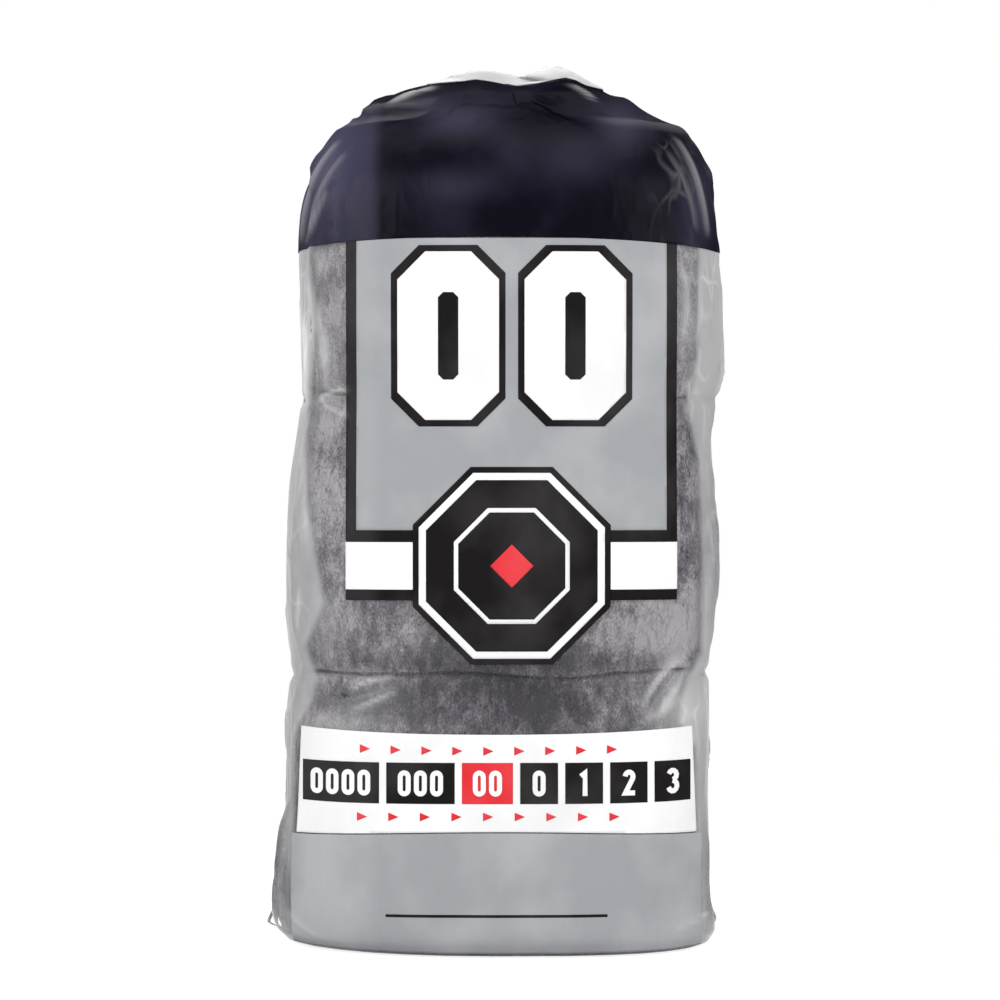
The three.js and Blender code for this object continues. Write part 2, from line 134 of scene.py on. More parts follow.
floor_mesh = bpy.data.meshes.new("floor")
floor_bm = bmesh.new()
bmesh.ops.create_grid(floor_bm, x_segments=1, y_segments=1, size=FLOOR_HALF_WIDTH)
bmesh.ops.translate(floor_bm, verts=floor_bm.verts, vec=(0, 0, FLOOR_LEVEL))
floor_bm.to_mesh(floor_mesh)
floor_bm.free()
floor = new_object("floor", floor_mesh)
floor_paint, tree = new_material("floor_paint")
lit = new_node(tree, "ShaderNodeBsdfDiffuse", {"Color": STUDIO_GREY}).outputs[0]
glow = new_node(tree, "ShaderNodeEmission", {"Strength": NEAR_GLOW}).outputs[0]
near = new_node(tree, "ShaderNodeAddShader", {0: lit, 1: glow}).outputs[0]
far = tree.nodes.new("ShaderNodeEmission").outputs[0]
place = tree.nodes.new("ShaderNodeTexCoord").outputs["Object"]
away = new_node(tree, "ShaderNodeVectorMath", {0: place})
away.operation = "LENGTH"
fade = new_node(tree, "ShaderNodeMapRange", {
    "Value": away.outputs["Value"], "From Min": FADE_FROM, "From Max": FADE_TO})
fade.interpolation_type = "SMOOTHSTEP"
shown = blended(tree, fade.outputs[0], near, far)
new_node(tree, "ShaderNodeOutputMaterial", {
    "Surface": blended(tree, seen_directly(tree), lit, shown)})
floor_mesh.materials.append(floor_paint)


def soft_lamp(name, place, aim, size, watts):
    """A large rectangular lamp that points at aim."""
    lamp_data = bpy.data.lights.new(name, "AREA")
    lamp_data.shape = "RECTANGLE"
    lamp_data.size, lamp_data.size_y = size
    lamp_data.energy = watts
    lamp = new_object(name, lamp_data)
    lamp.location = place
    lamp.rotation_euler = (Vector(aim) - Vector(place)).to_track_quat("-Z", "Y").to_euler()


soft_lamp("lamp_left", (-0.75, -0.85, 0.6), (0, 0, 0.12), (0.7, 0.9), 6.8)
soft_lamp("lamp_right", (0.85, -0.75, 0.5), (0, 0, 0.12), (0.7, 0.9), 5.3)
soft_lamp("lamp_top", (0, 0.1, 1.1), (0, 0, 0.1), (0.9, 0.9), 5.3)
soft_lamp("lamp_back", (0.2, 1.1, 0.7), (0, 0, 0.12), (0.9, 0.7), 5)


# The wool pads are long mats of fine steel strands, folded and rolled flat and stacked in rows.
# Their faces are soft and uneven. The strands run mostly up and down, tangled. The hollows between
# the pads fall in shade; the wool's colour adds painted shade in patches near the gaps between the
# rows and painted light right in the grooves, which softens their shade.
WOOL_GRAIN = 1.7 * MM
WOOL_UNEVEN = 0.5 * MM
WOOL_FREE_TOP = 202 * MM
DOME_CLEARANCE = 1.2 * MM
ROW_GAPS = [70.6 * MM, 141 * MM]
ROW_WANDER = 2.6 * MM
WANDER_REACH = 14 * MM
FLUFF_REACH = 6 * MM
FLUFF_DEPTH = 1.2 * MM
# Painted light: the wool is painted paler right in the grooves between the rows, to soften the shade
# that falls in them.
GROOVE_PAINTED_LIGHT = 0.25
GROOVE_REACH = 2.2 * MM
WOOL_DARK = "2e2a34"
WOOL_MIDDLE = "6f6a73"
WOOL_LIGHT = "b7b2b6"
CLOUD_SHARE = 1.3
# The wool turns paler towards the sides, between these distances from the middle, in mm.
PALE_FROM, PALE_TO = 30, 52
SIDE_PALE = 0.12
STRAND_STEP = 1.1 * MM
STRAND_THICKNESS = 0.05 * MM
# A face of a pad is an outer one where a point this far in front of it, in mm, is outside
# these half measures of the pack.
OUTER_LOOK = 20
OUTER_HALF_WIDTH = 62 * MM
OUTER_HALF_DEPTH = 46 * MM
# Near the gaps between the rows more strands lie, which cross over the gaps.
GAP_NEAR = 4 * MM
GAP_EXTRA = 2.5

# Soft patches of lighter and darker wool on the front: x and z of the middle, half width and
# half height, all in mm, and how much lighter. The dark patches near the gaps between the rows, at
# z 60 to 70 and at z 140, and those low at both sides where the gussets are, are painted shade; the
# others are the wool's own uneven tone.
WOOL_TONE_AND_SHADE_PATCHES = [
    (3, 70, 30, 6.5, -0.38), (8, 60, 26, 5, -0.24), (42, 84, 13, 11, 0.5), (-36, 84, 12, 10, 0.14),
    (-40, 63.5, 12, 3, -0.2), (-36, 59, 10, 2.5, 0.1), (44, 62, 8, 8, 0.06),
    (-42, 160, 7, 28, 0.1), (-44, 115, 7, 30, 0.12), (47, 160, 6, 22, 0.06),
    (48, 112, 6, 26, -0.08), (-44, 140, 8, 3, -0.14), (49, 140, 6, 3, -0.14),
    (-54, 16, 7, 22, -0.4), (55, 16, 6, 20, -0.15),
]


def soft_patches(x, z, patches):
    """The sum of soft oval patches at a place, or at many places when x and z are arrays."""
    total = 0 * x
    for middle_x, middle_z, half_width, half_height, share in patches:
        off = ((x / MM - middle_x) / half_width) ** 2 + ((z / MM - middle_z) / half_height) ** 2
        total = total + share * np.exp(-off)
    return total


def vertex_array(mesh, field="co"):
    values = np.empty(len(mesh.vertices) * 3)
    mesh.vertices.foreach_get(field, values)
    return values.reshape(-1, 3)


def paint(mesh, name, values):
    """Keeps one number for each vertex, which a material reads by that name."""
    layer = mesh.attributes.get(name) or mesh.attributes.new(name, "FLOAT", "POINT")
    layer.data.foreach_set("value", np.asarray(values, dtype=float))


def painted(tree, name):
    reader = tree.nodes.new("ShaderNodeAttribute")
    reader.attribute_name = name
    return reader.outputs["Fac"]


def colour(code, alpha=1):
    """A linear colour from the six hex digits that a paint chart gives."""
    shares = [int(code[i:i + 2], 16) / 255 for i in (0, 2, 4)]
    return [s / 12.92 if s <= 0.04045 else ((s + 0.055) / 1.055) ** 2.4 for s in shares] + [alpha]


def stretched_noise(tree, scale, detail, offset=(0, 0, 0)):
    """Noise on the object's own coordinates, with its own count per metre along each axis."""
    place = tree.nodes.new("ShaderNodeTexCoord").outputs["Object"]
    stretch = new_node(tree, "ShaderNodeMapping", {
        "Vector": place, "Location": offset, "Scale": scale})
    grain = new_node(tree, "ShaderNodeTexNoise", {
        "Vector": stretch.outputs["Vector"], "Scale": 1, "Detail": detail})
    return grain.outputs["Fac"]


def ramp(tree, source, stops):
    """A colour ramp over source, from stops of (position, colour)."""
    made = new_node(tree, "ShaderNodeValToRGB", {"Fac": source})
    elements = made.color_ramp.elements
    while len(elements) < len(stops):
        elements.new(0.5)
    for element, (position, value) in zip(elements, stops):
        element.position = position
        element.color = value
    return made.outputs["Color"]


def plus(tree, first, second):
    return maths(tree, "ADD", first, second)


def times(tree, first, second):
    return maths(tree, "MULTIPLY", first, second)


def bumped(tree, height, distance):
    return new_node(tree, "ShaderNodeBump", {
        "Height": height, "Distance": distance}).outputs["Normal"]


def wool_material(name, contrast, lift):
    """Steel wool: fine streaks, tangled bundles and soft clouds, lighter or darker by the painted map
    of its tone, painted shade and painted light.
    """
    material, tree = new_material(name)
    streaks = stretched_noise(tree, (2300, 2300, 1300), 3)
    bundles = stretched_noise(tree, (520, 520, 260), 3, (3, 1, 2))
    clouds = stretched_noise(tree, (85, 85, 70), 3, (0.4, 7, 1.3))
    uneven = plus(tree, times(tree, streaks, 0.55), times(tree, bundles, 0.45))
    tone = plus(tree, times(tree, uneven, contrast), times(tree, clouds, CLOUD_SHARE))
    tone = plus(tree, tone, painted(tree, "pale"))
    tone = maths(tree, "SUBTRACT", tone, (contrast + CLOUD_SHARE) * 0.5 - 0.5 - lift)
    shade = ramp(tree, tone, [
        (0.2, colour(WOOL_DARK)), (0.5, colour(WOOL_MIDDLE)), (0.85, colour(WOOL_LIGHT))])
    shader = new_node(tree, "ShaderNodeBsdfPrincipled", {
        "Metallic": 0.3, "Roughness": 0.6, "Base Color": shade,
        "Normal": bumped(tree, uneven, 0.6 * MM)})
    new_node(tree, "ShaderNodeOutputMaterial", {"Surface": shader.outputs[0]})
    return material


wool = wool_material("steel_wool", 1.7, 0)
strand_wool = wool_material("steel_strands", 2, 0.06)


def wool_tone_and_painted_light(place):
    """How pale the wool is at each place: paler towards the sides, with painted light in the grooves
    between the rows against their shade, and on the front the patches of uneven tone and painted
    shade.
    """
    aside = np.clip((np.abs(place[:, 0]) / MM - PALE_FROM) / (PALE_TO - PALE_FROM), 0, 1)
    front = np.clip(-place[:, 1] / (20 * MM), 0, 1)
    painted_groove_light = sum(np.exp(-((place[:, 2] - gap) / GROOVE_REACH) ** 2) for gap in ROW_GAPS)
    patches = soft_patches(place[:, 0], place[:, 2], WOOL_TONE_AND_SHADE_PATCHES)
    return SIDE_PALE * aside + GROOVE_PAINTED_LIGHT * painted_groove_light + front * patches


def as_mesh(piece):
    """A mesh of a piece as it shows: a curve with its thickness, a mesh with its modifiers."""
    bpy.context.view_layer.update()
    graph = bpy.context.evaluated_depsgraph_get()
    return bpy.data.meshes.new_from_object(piece.evaluated_get(graph))


def finished(piece):
    """The piece's mesh with its modifiers applied."""
    mesh = as_mesh(piece)
    piece.modifiers.clear()
    piece.data = mesh
    return mesh


def new_piece(name, bm, material, replaced):
    """A piece of the pack made from bm, in place, that stands for the CAD nodes it replaces."""
    mesh = bpy.data.meshes.new(name)
    bm.to_mesh(mesh)
    bm.free()
    mesh.shade_smooth()
    mesh.materials.append(material)
    piece = new_object(name, mesh)
    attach(piece, "root")
    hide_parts(*replaced)
    return piece


def strands(name, pad, surface, count, seed):
    """Loose strands that lie on a pad's outer faces: mostly upright, curled and tangled."""
    chance = random.Random(seed)
    outer = [p for p in pad.data.polygons
             if p.center.z < WOOL_FREE_TOP and max(
                 abs(p.center.x + p.normal.x * OUTER_LOOK * MM) / OUTER_HALF_WIDTH,
                 abs(p.center.y + p.normal.y * OUTER_LOOK * MM) / OUTER_HALF_DEPTH) > 1]
    curve = bpy.data.curves.new(name, "CURVE")
    curve.dimensions = "3D"
    curve.bevel_depth = STRAND_THICKNESS
    curve.bevel_resolution = 0
    by_gap = [1 + GAP_EXTRA * any(abs(p.center.z - gap) < GAP_NEAR for gap in ROW_GAPS)
              for p in outer]
    for face in chance.choices(outer, weights=by_gap, k=count):
        place = face.center.copy()
        heading = Vector((chance.gauss(0, 0.45), chance.gauss(0, 0.45), 1)).normalized()
        curl = Vector([chance.gauss(0, 0.25) for _ in range(3)])
        lift = chance.uniform(0.02, 0.4) * MM
        line = []
        for _ in range(chance.randint(4, 8)):
            spot, normal, _, _ = surface.find_nearest(place)
            line.append(spot + normal * lift)
            heading = (heading + curl + Vector([chance.gauss(0, 0.2) for _ in range(3)])).normalized()
            place = spot + heading * STRAND_STEP
        spline = curve.splines.new("POLY")
        spline.points.add(len(line) - 1)
        for point, spot in zip(spline.points, line):
            point.co = (*spot, 1)
            point.radius = chance.uniform(0.6, 1.2)
    piece = new_object(name, curve)
    mesh = as_mesh(piece)
    bpy.data.objects.remove(piece)
    mesh.materials.clear()
    mesh.materials.append(strand_wool)
    paint(mesh, "pale", wool_tone_and_painted_light(vertex_array(mesh)))
    piece = new_object(name, mesh)
    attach(piece, "root")


sleeve_bm = bmesh.new()
sleeve_bm.from_mesh(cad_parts["film_sleeve"].data)
sleeve_shell = BVHTree.FromBMesh(sleeve_bm)
sleeve_bm.free()
FAR_OUT = 0.2
VENT_REACH = 42 * MM
FLUFF_THICKEST = 5 * MM
FLUFF_SHARE = 0.85


def on_sleeve(direction, height):
    """The outside of the CAD sleeve, in that direction from the pack's middle."""
    middle = Vector((0, 0, height))
    spot = sleeve_shell.ray_cast(middle + direction * FAR_OUT, -direction)[0]
    if spot is None:
        return middle
    through_vent = spot.dot(direction) < 0
    if through_vent:
        spot = sleeve_shell.find_nearest(direction * VENT_REACH + middle)[0]
    return spot


def fluffed(spot):
    """Where wool at a pad's rounded edge goes when it is pressed out to the film beside it."""
    near = 1 - (min(abs(spot.z - gap) for gap in ROW_GAPS) / FLUFF_REACH) ** 2
    if near <= 0:
        return spot
    outward = Vector((spot.x, spot.y, 0)).normalized()
    film_there = on_sleeve(outward, spot.z)
    depth = math.hypot(film_there.x, film_there.y) - math.hypot(spot.x, spot.y) - FLUFF_DEPTH
    share = max(0, 1 - depth / FLUFF_THICKEST)
    return spot + outward * max(0, depth) * FLUFF_SHARE * near * math.sqrt(share)


WELD = 0.001 * MM
DOME_FADE = 6 * MM
LAYER_STRANDS = {"layer1": 2700, "layer2": 450, "layer3": 450, "layer4": 1500}
pads = []
pad_nodes = sorted(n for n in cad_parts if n.startswith("wool_pad"))
for node in pad_nodes:
    bm = bmesh.new()
    bm.from_mesh(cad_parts[node].data)
    bmesh.ops.remove_doubles(bm, verts=bm.verts, dist=WELD)
    pad = new_piece("steel_" + node, bm, wool, [node])
    remesh = pad.modifiers.new("even", "REMESH")
    remesh.mode = "VOXEL"
    remesh.voxel_size = WOOL_GRAIN
    mesh = finished(pad)
    bm = bmesh.new()
    bm.from_mesh(mesh)
    bmesh.ops.smooth_vert(bm, verts=bm.verts, factor=0.5, use_axis_x=True, use_axis_y=True,
                          use_axis_z=True)
    bm.normal_update()
    for vert in bm.verts:
        vert.co = fluffed(vert.co)
    bm.normal_update()
    for vert in bm.verts:
        lump = noise.noise(vert.co * 70) + 0.5 * noise.noise(vert.co * 260)
        for gap in ROW_GAPS:
            near = max(0, 1 - abs(vert.co.z - gap) / WANDER_REACH)
            wander = noise.noise(Vector((vert.co.x * 30, vert.co.y * 30, gap * 100)))
            vert.co.z += ROW_WANDER * wander * near * near * (3 - 2 * near)
        under_dome = min(1, max(0, (vert.co.z - WOOL_FREE_TOP) / DOME_FADE))
        vert.co += vert.normal * (WOOL_UNEVEN * (lump - 0.2) * (1 - 0.8 * under_dome)
                                  - DOME_CLEARANCE * under_dome)
    bm.to_mesh(mesh)
    bm.free()
    mesh.shade_smooth()
    mesh.materials.clear()
    mesh.materials.append(wool)
    paint(mesh, "pale", wool_tone_and_painted_light(vertex_array(mesh)))
    pads.append(pad)

points, faces = [], []
for pad in pads:
    faces += [[i + len(points) for i in p.vertices] for p in pad.data.polygons]
    points += [v.co.copy() for v in pad.data.vertices]
wool_tree = BVHTree.FromPolygons(points, faces)
for number, pad in enumerate(pads):
    strands(pad.name.replace("steel_wool_pad", "strands"), pad, wool_tree,
            LAYER_STRANDS[pad.name[-6:]], number)


# The film sleeve is one tube of thin clear polythene, folded flat under the pack and up its
# sides, drawn together over the top and welded into a short wavy seal that stands up.
FILM_COLUMNS = 168
BASE_RINGS = 6
SIDE_RINGS = 104
DOME_RINGS = 14
SEAL_RINGS = 4
SHOULDER = 203 * MM
SEAL_MIDDLE = 5.4
SEAL_HALF_WIDTH = 23
SEAL_HALF_THICKNESS = 0.12 * MM
SEAL_WAVE = 1.2 * MM
BASE_LIFT = 0.05 * MM
# The seal's wavy lip, its root where the printed colour ends, and the shoulders' reach to the
# left and right on the way up to it. Each is a line of (x, z) or (z, x) in mm.
SEAL_LIP = [(-17.8, 225.2), (-10.7, 228.2), (-3.3, 229.2), (6, 227.4), (13.4, 230), (16.6, 230.6),
            (19.7, 229.3), (24.8, 226.3), (28.6, 223.9)]
SEAL_ROOT = [(-17.8, 225), (-5, 226.3), (1, 225.2), (6, 224.2), (11.3, 225), (18.6, 226.7),
             (21.4, 226), (24, 224.7), (28.6, 223.7)]
LEFT_SHOULDER = [(211, 42.4), (214, 37.8), (216.8, 36.8), (219, 34.4), (221.4, 28), (223.2, 24.6),
                 (225, 17.8)]
RIGHT_SHOULDER = [(211, 52), (213.6, 48.4), (216, 43), (218.4, 39), (220.4, 35.6), (222.4, 31.8),
                  (225, 28)]
SHOULDER_DEPTH = [(211, 27.4), (214, 21.9), (218, 15.8), (222, 8.4), (225, 1.5)]
SHOULDER_SQUARENESS = 2.1
PADS_TOP = 209 * MM
RIDGE_FROM = 214 * MM

dome_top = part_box("print_header")[1].z - 0.6 * MM
FREE_TOP = 221 * MM


def smooth_step(low, high, value):
    share = np.clip((value - low) / (high - low), 0, 1)
    return share * share * (3 - 2 * share)


def along_line(line, value):
    """The second number of a line of pairs, at a value of its first number."""
    return np.interp(value, *zip(*line))


def shoulder(direction, height):
    """The dome: the CAD sleeve over the pads, and above them drawn in along a wavy ridge."""
    if height < PADS_TOP:
        return on_sleeve(direction, height)
    line = RIGHT_SHOULDER if direction.x > 0 else LEFT_SHOULDER
    wide, deep = along_line(line, height / MM), along_line(SHOULDER_DEPTH, height / MM)
    power = SHOULDER_SQUARENESS
    reach = (abs(direction.x / wide) ** power + abs(direction.y / deep) ** power) ** (-1 / power)
    point = direction * reach * MM
    point.z = height
    over_pads = on_sleeve(direction, min(height, RIDGE_FROM))
    over_pads.z = height
    point = over_pads.lerp(point, smooth_step(PADS_TOP, RIDGE_FROM, height))
    if height > RIDGE_FROM:
        ridge = along_line(SEAL_ROOT, point.x / MM) * MM - 0.3 * MM
        point.z = RIDGE_FROM + (height - RIDGE_FROM) * (ridge - RIDGE_FROM) / (dome_top - RIDGE_FROM)
    return point


def seal_point(direction, rise):
    """A point on the seal's lip. rise goes from 0 at its root to 1 at its wavy top edge."""
    across = max(-1, min(1, direction.x * 1.05))
    x = SEAL_MIDDLE + SEAL_HALF_WIDTH * across
    low, high = along_line(SEAL_ROOT, x) - 0.4, along_line(SEAL_LIP, x)
    wave = SEAL_WAVE * math.sin(across * 2 * math.pi)
    y = wave + math.copysign(SEAL_HALF_THICKNESS, direction.y) * (1 - rise * 0.5)
    return Vector((x * MM, y, (low + (high - low) * rise) * MM))


def film_point(direction, ring):
    """Where the film goes in that direction, for rings counted from the middle of the base."""
    if ring < BASE_RINGS:
        share = 0.02 + 0.96 * ring / BASE_RINGS
        edge = on_sleeve(direction, 0.6 * MM)
        return Vector((edge.x * share, edge.y * share, BASE_LIFT))
    ring -= BASE_RINGS
    if ring < SIDE_RINGS:
        height = max(SHOULDER * ring / SIDE_RINGS, 0.4 * MM)
        point = on_sleeve(direction, height)
        point.z = max(SHOULDER * ring / SIDE_RINGS, BASE_LIFT)
        return point
    ring -= SIDE_RINGS
    if ring < DOME_RINGS:
        rise = math.sin(0.5 * math.pi * ring / DOME_RINGS)
        return shoulder(direction, SHOULDER + (dome_top - 0.3 * MM - SHOULDER) * rise)
    return seal_point(direction, (ring - DOME_RINGS) / SEAL_RINGS)


last_ring = BASE_RINGS + SIDE_RINGS + DOME_RINGS + SEAL_RINGS
film_bm = bmesh.new()
bmesh.ops.create_cone(film_bm, cap_ends=False, segments=FILM_COLUMNS, radius1=1, radius2=1,
                      depth=1)
uprights = [e for e in film_bm.edges if abs(e.verts[0].co.z - e.verts[1].co.z) > 0.5]
bmesh.ops.subdivide_edges(film_bm, edges=uprights, cuts=last_ring - 1)
for vert in film_bm.verts:
    direction = Vector((vert.co.x * 1.35, vert.co.y, 0)).normalized()
    vert.co = film_point(direction, round((vert.co.z + 0.5) * last_ring))
film_bm.normal_update()
for _ in range(6):
    bmesh.ops.smooth_vert(
        film_bm, verts=[v for v in film_bm.verts if 1 * MM < v.co.z < FREE_TOP],
        factor=0.5, use_axis_x=True, use_axis_y=True, use_axis_z=True)
openings = [e for e in film_bm.edges if e.is_boundary]
bmesh.ops.holes_fill(film_bm, edges=openings, sides=0)
bmesh.ops.recalc_face_normals(film_bm, faces=film_bm.faces)

# The film has more slack than the pads need. Cloth simulation lets that slack buckle, most at
# the sides, the shoulders and the back, while the base and the seal stay where they are.
CLOTH_SCALE = 10
CLOTH_FRAMES = 16
SLACK = 0.06
MOST_BUCKLE = 1.5 * MM
BODY_SHRINK = 0.35 * MM
TREND_PASSES = 30


def slack_at(place):
    """How loose the film is at each place, from 0 where it is tight to 1."""
    side = smooth_step(36 * MM, 50 * MM, np.abs(place[:, 0]))
    dome = smooth_step(178 * MM, 205 * MM, place[:, 2])
    back = smooth_step(0, 20 * MM, place[:, 1])
    return np.minimum(1, 0.1 + 0.8 * side + 0.5 * dome + 0.6 * back)


def blurred(values, pairs, passes):
    """Values spread along a mesh's edges, which leaves only their slow changes."""
    count = np.bincount(pairs.ravel(), minlength=len(values))[:, None]
    for _ in range(passes):
        total = np.zeros_like(values)
        np.add.at(total, pairs[:, 0], values[pairs[:, 1]])
        np.add.at(total, pairs[:, 1], values[pairs[:, 0]])
        values = 0.5 * values + 0.5 * total / count
    return values


def as_object(name, bm, scale):
    mesh = bpy.data.meshes.new(name)
    bm.to_mesh(mesh)
    mesh.transform(Matrix.Scale(scale, 4))
    return new_object(name, mesh)


def buckle(bm):
    """Lets the film's slack buckle, and moves the vertices of bm there."""
    cloth_piece = as_object("film_cloth", bm, CLOTH_SCALE)
    bm.normal_update()
    body_bm = bm.copy()
    for vert in body_bm.verts:
        vert.co -= vert.normal * BODY_SHRINK
    body = as_object("film_body", body_bm, CLOTH_SCALE)
    body_bm.free()
    body.modifiers.new("solid", "COLLISION")
    body.collision.thickness_outer = BODY_SHRINK * CLOTH_SCALE
    body.collision.cloth_friction = 2
    rest = vertex_array(cloth_piece.data) / CLOTH_SCALE
    slack = cloth_piece.vertex_groups.new(name="slack")
    held = cloth_piece.vertex_groups.new(name="held")
    for number, share in enumerate(slack_at(rest)):
        slack.add([number], share, "REPLACE")
        if rest[number, 2] < 2 * MM or rest[number, 2] > FREE_TOP:
            held.add([number], 1, "REPLACE")
    cloth = cloth_piece.modifiers.new("cloth", "CLOTH")
    cloth.settings.quality = 6
    cloth.settings.mass = 0.1
    cloth.settings.tension_stiffness = 12
    cloth.settings.compression_stiffness = 12
    cloth.settings.shear_stiffness = 8
    cloth.settings.bending_stiffness = 0.03
    cloth.settings.air_damping = 4
    cloth.settings.vertex_group_mass = "held"
    cloth.settings.vertex_group_shrink = "slack"
    cloth.settings.shrink_min = 0
    cloth.settings.shrink_max = -SLACK
    cloth.settings.effector_weights.gravity = 0
    cloth.collision_settings.distance_min = 0.3 * MM * CLOTH_SCALE
    cloth.point_cache.frame_end = CLOTH_FRAMES
    for frame_number in range(1, CLOTH_FRAMES + 1):
        bpy.context.scene.frame_set(frame_number)
    graph = bpy.context.evaluated_depsgraph_get()
    moved = vertex_array(cloth_piece.evaluated_get(graph).to_mesh()) / CLOTH_SCALE
    pairs = np.array([edge.vertices[:] for edge in cloth_piece.data.edges])
    move = moved - rest
    move -= blurred(move, pairs, TREND_PASSES)
    size = np.linalg.norm(move, axis=1, keepdims=True)
    move *= np.minimum(1, MOST_BUCKLE / np.maximum(size, 1e-9))
    for vert, step in zip(bm.verts, move):
        if 2 * MM < vert.co.z < FREE_TOP:
            vert.co += Vector(step)
    bpy.data.objects.remove(cloth_piece)
    bpy.data.objects.remove(body)
    bpy.context.scene.frame_set(1)


buckle(film_bm)
film_shape = bpy.data.meshes.new("film_shape")
film_bm.to_mesh(film_shape)
film_bm.free()
film_smooth = new_object("film_smooth", film_shape)
finer = film_smooth.modifiers.new("finer", "SUBSURF")
finer.levels = finer.render_levels = 1
film_shape = finished(film_smooth)
bpy.data.objects.remove(film_smooth)

# Sharp creases are pressed into the film where the photo shows them. A front crease is a line of
# (x, z) in mm, with its half width, its height, and the light it is painted with: a painted
# highlight where above 0, painted shade where below 0.
FRONT_CREASES = [
    ([(37.4, 62.8), (40.2, 68.2), (44.4, 73), (49.4, 75.6)], 2, 0.55, 0.36),
    ([(37.4, 59.6), (42, 60.6), (47, 64.8)], 1.8, 0.4, 0.16),
    ([(41.6, 61.4), (45, 65.4), (47.8, 69.6), (49.6, 73)], 1.9, 0.4, 0.28),
    ([(39.6, 62.8), (42.2, 67), (45.8, 71.4)], 1.8, -0.5, -0.25),
    ([(-37, 67.2), (-31, 69.4), (-24.9, 70.6)], 1.6, 0.45, 0.3),
    ([(-36.5, 61.6), (-30, 64.4), (-24.6, 67.3)], 1.7, 0.5, 0.24),
    ([(-46, 64.9), (-40, 65.2), (-34, 66), (-24.9, 68.6)], 2.2, -1, -0.35),
    ([(-44.2, 140.6), (-41.2, 142.3), (-37.4, 142.8)], 1.6, 0.7, 0.3),
    ([(-44.2, 140.4), (-41.2, 138.1), (-37.4, 135.8)], 1.6, 0.7, 0.25),
    ([(-43, 139.8), (-40.6, 140.6), (-37.6, 139.6)], 1.8, -0.8, -0.3),
    ([(46.3, 142.2), (48.4, 138.2), (46.6, 134)], 1.8, -1, -0.35),
    ([(50.2, 146.4), (48.9, 143.4), (49.6, 140)], 1.3, 0.6, 0.3),
    ([(-49.6, 92), (-50.6, 86), (-50.4, 82)], 1.3, 0.2, 0.1),
    ([(-27, 218), (-21.6, 220.8), (-15.6, 223.2)], 1.6, 0.8, 0.5),
    ([(20.5, 224), (23.2, 221.4), (25.4, 219)], 1.3, 0.6, 0.4),
    ([(-40, 207), (-45, 200), (-48.4, 191), (-49.6, 182)], 1.6, 0.8, 0.3),
    ([(-38, 203), (-42.6, 197), (-45.8, 190), (-46.6, 184)], 1.4, 0.6, 0.2),
    ([(-42.5, 193.5), (-45.5, 187), (-48, 181)], 1.2, 0.5, 0.2),
    ([(46.5, 208), (50.2, 201), (53, 192), (54.4, 183)], 1.5, 0.8, 0.3),
    ([(44, 204), (48, 197.5), (50.6, 190), (51.4, 184)], 1.3, -0.5, 0.15),
    ([(-47.5, 171), (-43.5, 157), (-42.4, 144)], 2.4, 0.8, 0.18),
    ([(-39.2, 176), (-41.4, 162), (-40, 148)], 2, -0.6, -0.12),
    ([(-50.5, 168), (-48, 152), (-49, 137)], 1.5, 0.6, 0.2),
    ([(47.4, 177), (49, 166), (47.6, 153)], 1.8, 0.6, 0.15),
    ([(-48.4, 130), (-46, 118), (-48, 104)], 2.2, 0.6, 0.12),
    ([(52, 128), (50.4, 112), (52, 96)], 2.2, 0.6, 0.12),
    ([(-52.4, 22), (-52.6, 14), (-52.2, 5)], 1.3, -0.6, -0.4),
    ([(46, 6.2), (50.6, 7.6), (55, 9.6)], 1.2, 0.6, 0.3),
    ([(-54, 11), (-49, 6.6), (-44, 4)], 1.3, 0.6, 0.25),
]
# A round crease runs round the sleeve: its first number is the way round from the front's middle.
ROUND_CREASES = [
    ([(-36, 214.6), (-60, 213.6), (-92, 214)], 2, -1.1, 0.1),
    ([(-38, 218), (-62, 217), (-88, 218)], 1.8, 0.9, 0.1),
    ([(44, 212), (66, 211), (92, 212)], 2.2, 0.9, 0.1),
    ([(-50, 141.5), (-72, 140.6), (-98, 142)], 2.4, -1, -0.1),
    ([(50, 69.5), (74, 70.6), (98, 68.5)], 2.4, -1.1, -0.1),
    ([(-52, 70), (-76, 69.6), (-98, 70.6)], 2.6, -1, -0.1),
    ([(50, 140.6), (76, 141.5), (98, 140)], 2.4, -0.9, -0.1),
]
LOOSE_CREASES = 90
CREASE_SEED = 11

place = vertex_array(film_shape)
outward = vertex_array(film_shape, "normal")
bearings = np.linspace(-math.pi, math.pi, 241)
outline = np.array([on_sleeve(Vector((math.sin(b), -math.cos(b), 0)), 100 * MM) for b in bearings])
travelled = np.concatenate([[0], np.cumsum(np.linalg.norm(np.diff(outline, axis=0), axis=1))])
travelled -= np.interp(0, bearings, travelled)
way_round = np.interp(np.arctan2(place[:, 0], -place[:, 1]), bearings, travelled) / MM
height = place[:, 2] / MM
front_half = place[:, 1] < 0
painted_crease_light = np.zeros(len(place))
crease_move = np.zeros(len(place))


def rounded(line):
    """A line with its corners cut twice, so that it runs as a soft curve."""
    for _ in range(2):
        cut = [line[0]]
        for (u0, v0), (u1, v1) in zip(line, line[1:]):
            cut += [(0.75 * u0 + 0.25 * u1, 0.75 * v0 + 0.25 * v1),
                    (0.25 * u0 + 0.75 * u1, 0.25 * v0 + 0.75 * v1)]
        line = cut + [line[-1]]
    return line


